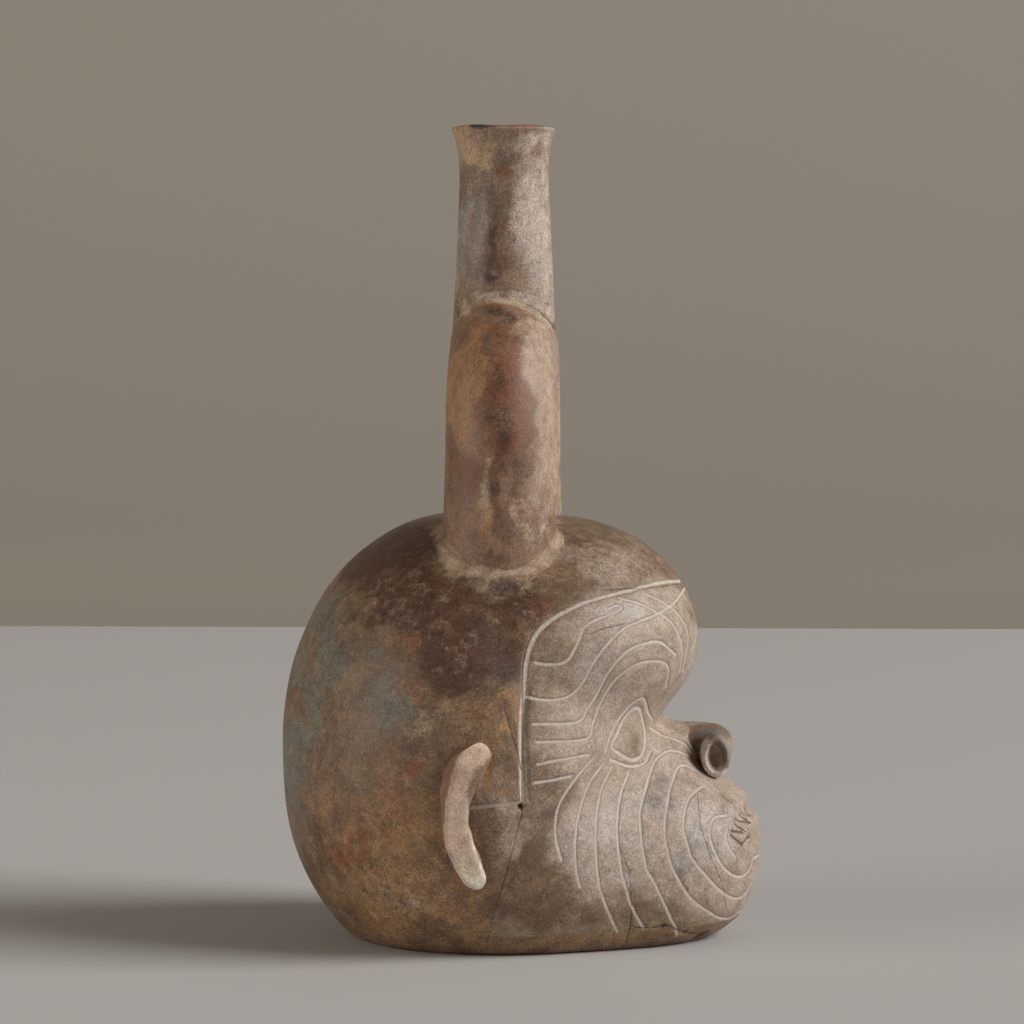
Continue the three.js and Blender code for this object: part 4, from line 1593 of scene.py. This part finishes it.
@dataclass
class Stirrup:
    """The stirrup: two bent tubes on the crown that meet under the spout, with a coil of clay round each foot."""

    form: HeadForm
    weathering_and_painted_light: WeatheringAndPaintedLight
    radius: float = 16.0
    bore: float = 10.5
    span: float = 58.0
    foot_swell: float = 0.9
    rise: float = 19.5
    spout_bore: float = 9.8
    collar_foot: float = 5.4
    collar_spread: Triple = (0.42, 0.3, 0.48)
    collar_height: float = 3.4
    collar_lip: float = 0.1
    collar_edge: float = 0.8
    collar_sunk: float = 0.7
    collar_overlap: float = 0.4
    collar_root: float = 1.5
    collar_rows: int = 14
    swell_power: float = 1.5
    joint_rows: int = 12
    columns: int = 96
    straight_rows: int = 46
    arch_rows: int = 70

    def leg_y(self) -> float:
        """Distance of a leg's axis from the mid-plane."""
        return self.span / 2

    def arch_z(self) -> float:
        """Height of the arch's centre: the crown's height and the legs' rise."""
        return float(self.form.above(np.array(0.0), np.array(0.0))[2]) + self.rise

    def arch_above(self, x: Array, y: Array) -> Array:
        """Height of the arch's upper skin over a place in plan: the tube's section turned about the X axis."""
        ridge = np.sqrt(np.maximum(self.radius**2 - x**2, 0))
        return self.arch_z() + np.sqrt((self.leg_y() + ridge) ** 2 - y**2)

    def tube(self, radius: float, turn: Array) -> Array:
        """One skin of the right leg: a circle carried straight up from the crown and then round the arch.

        Upper columns stop at the hole under the spout, so the last row is the joint with the other leg and the hole.

        Args:
            radius: Radius of the skin.
            turn: Turns round the tube, from +X towards the mid-plane.

        Returns:
            Points, rows by columns.
        """
        leg_y, arch_z = self.leg_y(), self.arch_z()
        x, inward = radius * np.cos(turn), radius * np.sin(turn)
        foot = self.form.above(x, inward - leg_y)[..., 2]
        up = foot + np.linspace(0, 1, self.straight_rows, endpoint=False)[:, None] * (arch_z - foot)
        straight = np.stack(np.broadcast_arrays(x, inward - leg_y, up), axis=-1)
        hole = np.where(inward < 0, np.sqrt(np.maximum(self.spout_bore**2 - x**2, 0)), 0)
        reach = leg_y - inward
        bend = np.linspace(0, 1, self.arch_rows + 1)[:, None] * np.arccos(np.clip(hole / reach, -1, 1))
        arch = np.stack(np.broadcast_arrays(x, -reach * np.cos(bend), arch_z + reach * np.sin(bend)), axis=-1)
        return np.vstack([straight, arch])

    def build_leg(self, side: Side, material: Material) -> None:
        """One leg: an outer and an inner tube, joined at both ends. The outer one swells to its foot.

        Args:
            side: The animal's side that it is on.
            material: Finish of the piece.
        """
        turn = full_turn(self.columns)
        outer, inner = self.tube(self.radius, turn), self.tube(self.bore, turn)
        lump = unevenness(outer.reshape(-1, 3)).reshape(outer.shape[:2])
        centre = (outer + np.roll(outer, self.columns // 2, axis=1)) / 2
        away = outer - centre
        row = np.arange(len(outer))[:, None]
        fade = unit((self.arch_rows + self.straight_rows - row) / self.joint_rows)
        low = unit(1 - row / self.straight_rows)
        lump = lump * fade + self.foot_swell * low**self.swell_power
        outer = outer + lump[..., None] * away / np.linalg.norm(away, axis=-1, keepdims=True)
        points = np.vstack([outer.reshape(-1, 3), inner.reshape(-1, 3)])
        index = np.arange(len(points)).reshape(2, len(outer), self.columns)
        faces = grid_faces(index[0], close_columns=True) + grid_faces(index[1], close_columns=True)
        edges = grid_faces(index[:, 0], close_columns=True) + grid_faces(index[:, -1], close_columns=True)
        seen, node = self.weathering_and_painted_light.at(points), side.node("stirrup_leg")
        add_piece(f"{node}_tube", node, side.mirror(points), faces, edges, seen, material)

    def build_collar(self, side: Side, material: Material) -> None:
        """One collar: a hollow-faced section in the corner of leg and crown, carried round the leg.

        The face is the quadratic curve from the foot to the leg, bent towards the corner. The foot spreads most
        towards the back of the head, less on the outer side and least in front.

        Args:
            side: The animal's side that it is on.
            material: Finish of the piece.
        """
        turn = full_turn(2 * self.columns)
        ripple = 1 + 0.05 * np.sin(3 * turn + 0.6) + 0.04 * np.sin(7 * turn)
        out = np.stack([np.cos(turn), np.sin(turn)], axis=-1)
        outer, back = unit(-out[:, ::-1].T)
        least, more_outside, more_behind = self.collar_spread
        spread = self.collar_foot * ripple * (least + more_outside * outer**2 + more_behind * back**2)

        def on_head(reach: Array, lift: float | Array) -> Array:
            """Points over the skin of the crown at a distance from the leg's axis."""
            place = self.form.above(reach * out[:, 0], reach * out[:, 1] - self.leg_y())
            return place + self.form.normal(place) * (unevenness(place) + lift)[:, None]

        reach = self.radius + self.foot_swell
        foot = on_head(reach + spread, -self.collar_sunk)
        lip = on_head(reach + spread - self.collar_edge, self.collar_lip)
        corner = on_head(np.full_like(turn, reach - self.collar_overlap), 0.2)
        top = corner.copy()
        top[:, 2] += self.collar_height * ripple
        top[:, :2] += self.collar_overlap * out + (unevenness(top) - 0.12)[:, None] * out
        high = top.copy()
        high[:, :2] -= self.collar_edge * out
        high[:, 2] += self.collar_root
        under = on_head(np.full_like(turn, self.radius - 2 * self.collar_edge), -self.collar_root)
        face = quadratic(lip, corner, top, np.linspace(0, 1, self.collar_rows)[:, None, None])
        points = np.concatenate([foot[None], face, high[None], under[None]])
        faces = grid_faces(grid_index(points), close_rows=True, close_columns=True)
        points = points.reshape(-1, 3)
        seen, node = self.weathering_and_painted_light.at(points), side.node("leg_collar")
        add_piece(f"{node}_coil", node, side.mirror(points), faces, [], seen, material)


@dataclass
class Spout:
    """The spout: a tapering tube with a flared lip on the arch, and two crescents of luting clay at its foot."""

    stirrup: Stirrup
    weathering_and_painted_light: WeatheringAndPaintedLight
    tall: float = 49.5
    foot_radius: float = 15.2
    neck_radius: float = 13.4
    rim_radius: float = 15.4
    bore: float = 9.8
    flare: float = 16.0
    lip_wall: float = 2.8
    lip_round: float = 1.2
    fillet_foot: float = 1.5
    fillet_height: float = 3.8
    fillet_half_angle: float = 88.0
    fillet_lip: float = 0.6
    fillet_root: float = 1.0
    fillet_columns: int = 80
    fillet_rows: int = 12
    seat_depth: float = 0.9
    flare_rows: int = 24
    columns: int = 128

    def rim_z(self) -> float:
        """Height of the rim: the top of the arch and the spout's height."""
        return self.stirrup.arch_z() + self.stirrup.leg_y() + self.stirrup.radius + self.tall

    def profile(self) -> tuple[Array, Array]:
        """Radius and height of the turned profile, from the foot up the outside, over the lip and down the bore.

        The outside is a taper and a quadratic flare, the lip a quadratic round, and the mouth narrows to the bore.

        Returns:
            Radii, and heights before the foot is let down onto the arch.
        """
        low, rim = self.stirrup.arch_z() + self.stirrup.leg_y(), self.rim_z()
        neck = rim - self.flare
        fine = np.linspace(0, 1, self.flare_rows + 1)[:, None]
        coarse = fine[::3]
        taper = np.linspace((self.foot_radius, low), (self.neck_radius, neck), len(fine))
        edge = (self.rim_radius, rim - self.lip_round)
        flare = quadratic(taper[-1], (self.neck_radius, rim - self.flare / 3), edge, fine)
        lip = quadratic(edge, (self.rim_radius, rim), (self.rim_radius - self.lip_round, rim), coarse)
        mouth, throat = (self.rim_radius - self.lip_wall, rim), (self.bore, rim - self.lip_wall)
        down = quadratic(mouth, throat, (self.bore, neck), coarse)
        bore = np.linspace(down[-1], (self.bore, low), len(coarse))
        path = np.vstack([taper[:-1], flare[:-1], lip, down, bore[1:]])
        return path[:, 0], path[:, 1]

    def build(self, material: Material) -> None:
        """The spout: the profile turned about Z, its two lower ends let down onto the arch.

        Args:
            material: Finish of the piece.
        """
        turn = full_turn(self.columns)
        radius, height = (values[:, None] for values in self.profile())
        low, neck = height.min(), self.rim_z() - self.flare
        seat = self.stirrup.arch_above(radius * np.cos(turn), radius * np.sin(turn)) - self.seat_depth
        share = unit((height - low) / (neck - low))
        z = np.where(height < neck, seat + share * (neck - seat), height)
        waver = 0.22 * np.sin(2 * turn + 0.05 * z) + 0.14 * np.sin(3 * turn - 0.09 * z + 1)
        wide = radius + np.where(radius > 0.5 * (self.bore + self.neck_radius), waver - 0.05, 0)
        dip = 0.25 * np.sin(turn - 0.5) + 0.12 * np.sin(5 * turn) - 0.35
        z = z + unit((height - neck) / self.flare) * dip
        points = np.stack([wide * np.cos(turn), wide * np.sin(turn), z], axis=-1)
        index, points = grid_index(points), points.reshape(-1, 3)
        faces = grid_faces(index, close_columns=True)
        edges = grid_faces(index[[0, -1]], close_columns=True)
        seen = self.weathering_and_painted_light.at(points)
        add_piece("pouring_spout", "spout", points, faces, edges, seen, material)

    def build_fillet(self, side: Side, material: Material) -> None:
        """One crescent: a hollow-faced section in the corner of spout and arch that fades out towards both ends.

        Its size follows the cosine of the turn, and its face is the quadratic curve bent towards the corner.

        Args:
            side: The animal's side that it is on.
            material: Finish of the piece.
        """
        share = np.linspace(-1, 1, self.fillet_columns + 2)[1:-1]
        turn, size = np.radians(self.fillet_half_angle) * share, np.cos(np.pi / 2 * share) ** 0.7
        out = np.stack([np.sin(turn), -np.cos(turn)], axis=-1)

        def on_arch(reach: Array, lift: float) -> Array:
            """Points over the arch's skin at a distance from the spout's axis."""
            place = reach[:, None] * out
            return np.column_stack([place, self.stirrup.arch_above(place[:, 0], place[:, 1]) + lift])

        inner = np.full_like(turn, self.foot_radius - 0.5)
        foot = on_arch(inner + self.fillet_foot * size, -self.fillet_root)
        lip = on_arch(inner + (self.fillet_foot - self.fillet_lip) * size, -0.1)
        corner = on_arch(inner, 0.0)
        top, back = corner.copy(), on_arch(inner - self.fillet_root, 0.0)
        top[:, 2] += self.fillet_height * size
        back[:, 2] = top[:, 2] + self.fillet_lip
        under = on_arch(inner - self.fillet_root, -0.8)
        face = quadratic(lip, corner, top, np.linspace(0, 1, self.fillet_rows)[:, None, None])
        points = np.concatenate([foot[None], face, back[None], under[None]])
        index, points = grid_index(points), points.reshape(-1, 3)
        faces = grid_faces(index, close_rows=True)
        edges = [index[:, 0].tolist(), index[:, -1].tolist()]
        seen, node = self.weathering_and_painted_light.at(points), side.node("spout_fillet")
        add_piece(f"{node}_clay", node, side.mirror(points), faces, edges, seen, material)


@dataclass(frozen=True)
class Lamp:
    """A soft studio lamp: a square of light that faces the bottle. Lengths in metres."""

    name: str
    place: Triple
    size: float
    watts: float
    colour: str
    target: Triple = (0.0, 0.0, 0.1)

    def build(self) -> None:
        """Makes the lamp, turned to the middle of the bottle."""
        data = bpy.data.lights.new(self.name, "AREA")
        data.size, data.energy, data.color = self.size, self.watts, linear(self.colour)[:3]
        lamp = bpy.data.objects.new(self.name, data)
        bpy.context.scene.collection.objects.link(lamp)
        aim = (Vector(self.place) - Vector(self.target)).to_track_quat("Z", "Y")
        lamp.matrix_world = Matrix.Translation(self.place) @ aim.to_matrix().to_4x4()


@dataclass(frozen=True)
class Studio:
    """A pale table that ends at a plain wall, and soft light from the face's side. Lengths in metres."""

    half_width: float = 2.2
    near: float = -2.0
    table_end: float = 1.385
    wall_y: float = 1.9
    wall_low: float = -0.6
    wall_high: float = 2.2
    table_colour: str = "#b7b6b6"
    wall_colour: str = "#a8a298"
    world_colour: str = "#d4c5b3"
    world_strength: float = 0.2
    roughness: float = 0.85
    lamps: tuple[Lamp, ...] = (
        Lamp("key", (7.68, -1.35, 4.6), 5.6, 930.0, "#fffdfa"),
        Lamp("fill", (-2.0, -1.0, 0.45), 1.4, 27.0, "#fdf3e6"),
    )

    def sheet(self, name: str, corners: list[Triple], colour: str) -> None:
        """Adds a plain matt plane that isn't part of the bottle.

        Args:
            name: Name of the plane.
            corners: Its four corners in metres.
            colour: Its colour.
        """
        mesh = bpy.data.meshes.new(name)
        mesh.from_pydata(corners, [], [[0, 1, 2, 3]])
        material = bpy.data.materials.new(name)
        material.use_nodes = True
        shader = material.node_tree.nodes["Principled BSDF"]
        shader.inputs["Base Color"].default_value = linear(colour)
        shader.inputs["Roughness"].default_value = self.roughness
        mesh.materials.append(material)
        plane = bpy.data.objects.new(name, mesh)
        bpy.context.scene.collection.objects.link(plane)

    def build(self) -> None:
        """Lays the table, hangs the wall and sets the light."""
        w, near, end, y = self.half_width, self.near, self.table_end, self.wall_y
        self.sheet("table", [(-w, near, 0), (w, near, 0), (w, end, 0), (-w, end, 0)], self.table_colour)
        low, high = self.wall_low, self.wall_high
        self.sheet("wall", [(-w, y, low), (w, y, low), (w, y, high), (-w, y, high)], self.wall_colour)
        for lamp in self.lamps:
            lamp.build()
        world = bpy.data.worlds.new("studio")
        world.use_nodes = True
        background = world.node_tree.nodes["Background"]
        background.inputs["Color"].default_value = linear(self.world_colour)
        background.inputs["Strength"].default_value = self.world_strength
        bpy.context.scene.world = world
        bpy.context.scene.view_settings.view_transform = "Standard"


def main() -> None:
    """Builds the bottle's pieces in order, then the studio and the camera."""
    logging.basicConfig(level=logging.INFO, format="%(message)s")
    camera = PhotoCamera()
    weathering_and_painted_light = WeatheringAndPaintedLight(camera)
    head = Head(HeadForm(), FaceForm(), weathering_and_painted_light)
    marks = SurfaceMarks(head.face_form, camera, head.seam_line())
    head.build_base(marks, BARE_CLAY.material())
    head.build_cranium(marks, BROWN_SLIP.material())
    face_slip = FACE_SLIP.material()
    head.build_face(marks, face_slip)
    Nose(weathering_and_painted_light).build(face_slip)
    stirrup = Stirrup(head.form, weathering_and_painted_light)
    spout = Spout(stirrup, weathering_and_painted_light)
    ears = Ears(head.form, camera)
    pale, red, luting = PALE_SLIP.material(), STIRRUP_SLIP.material(), LUTING_CLAY.material()
    for side in Side:
        ears.build(side, pale)
        stirrup.build_leg(side, red)
        stirrup.build_collar(side, luting)
        spout.build_fillet(side, luting)
    spout.build(SPOUT_SLIP.material())
    Studio().build()
    camera.build()


if __name__ == "__main__":
    main()
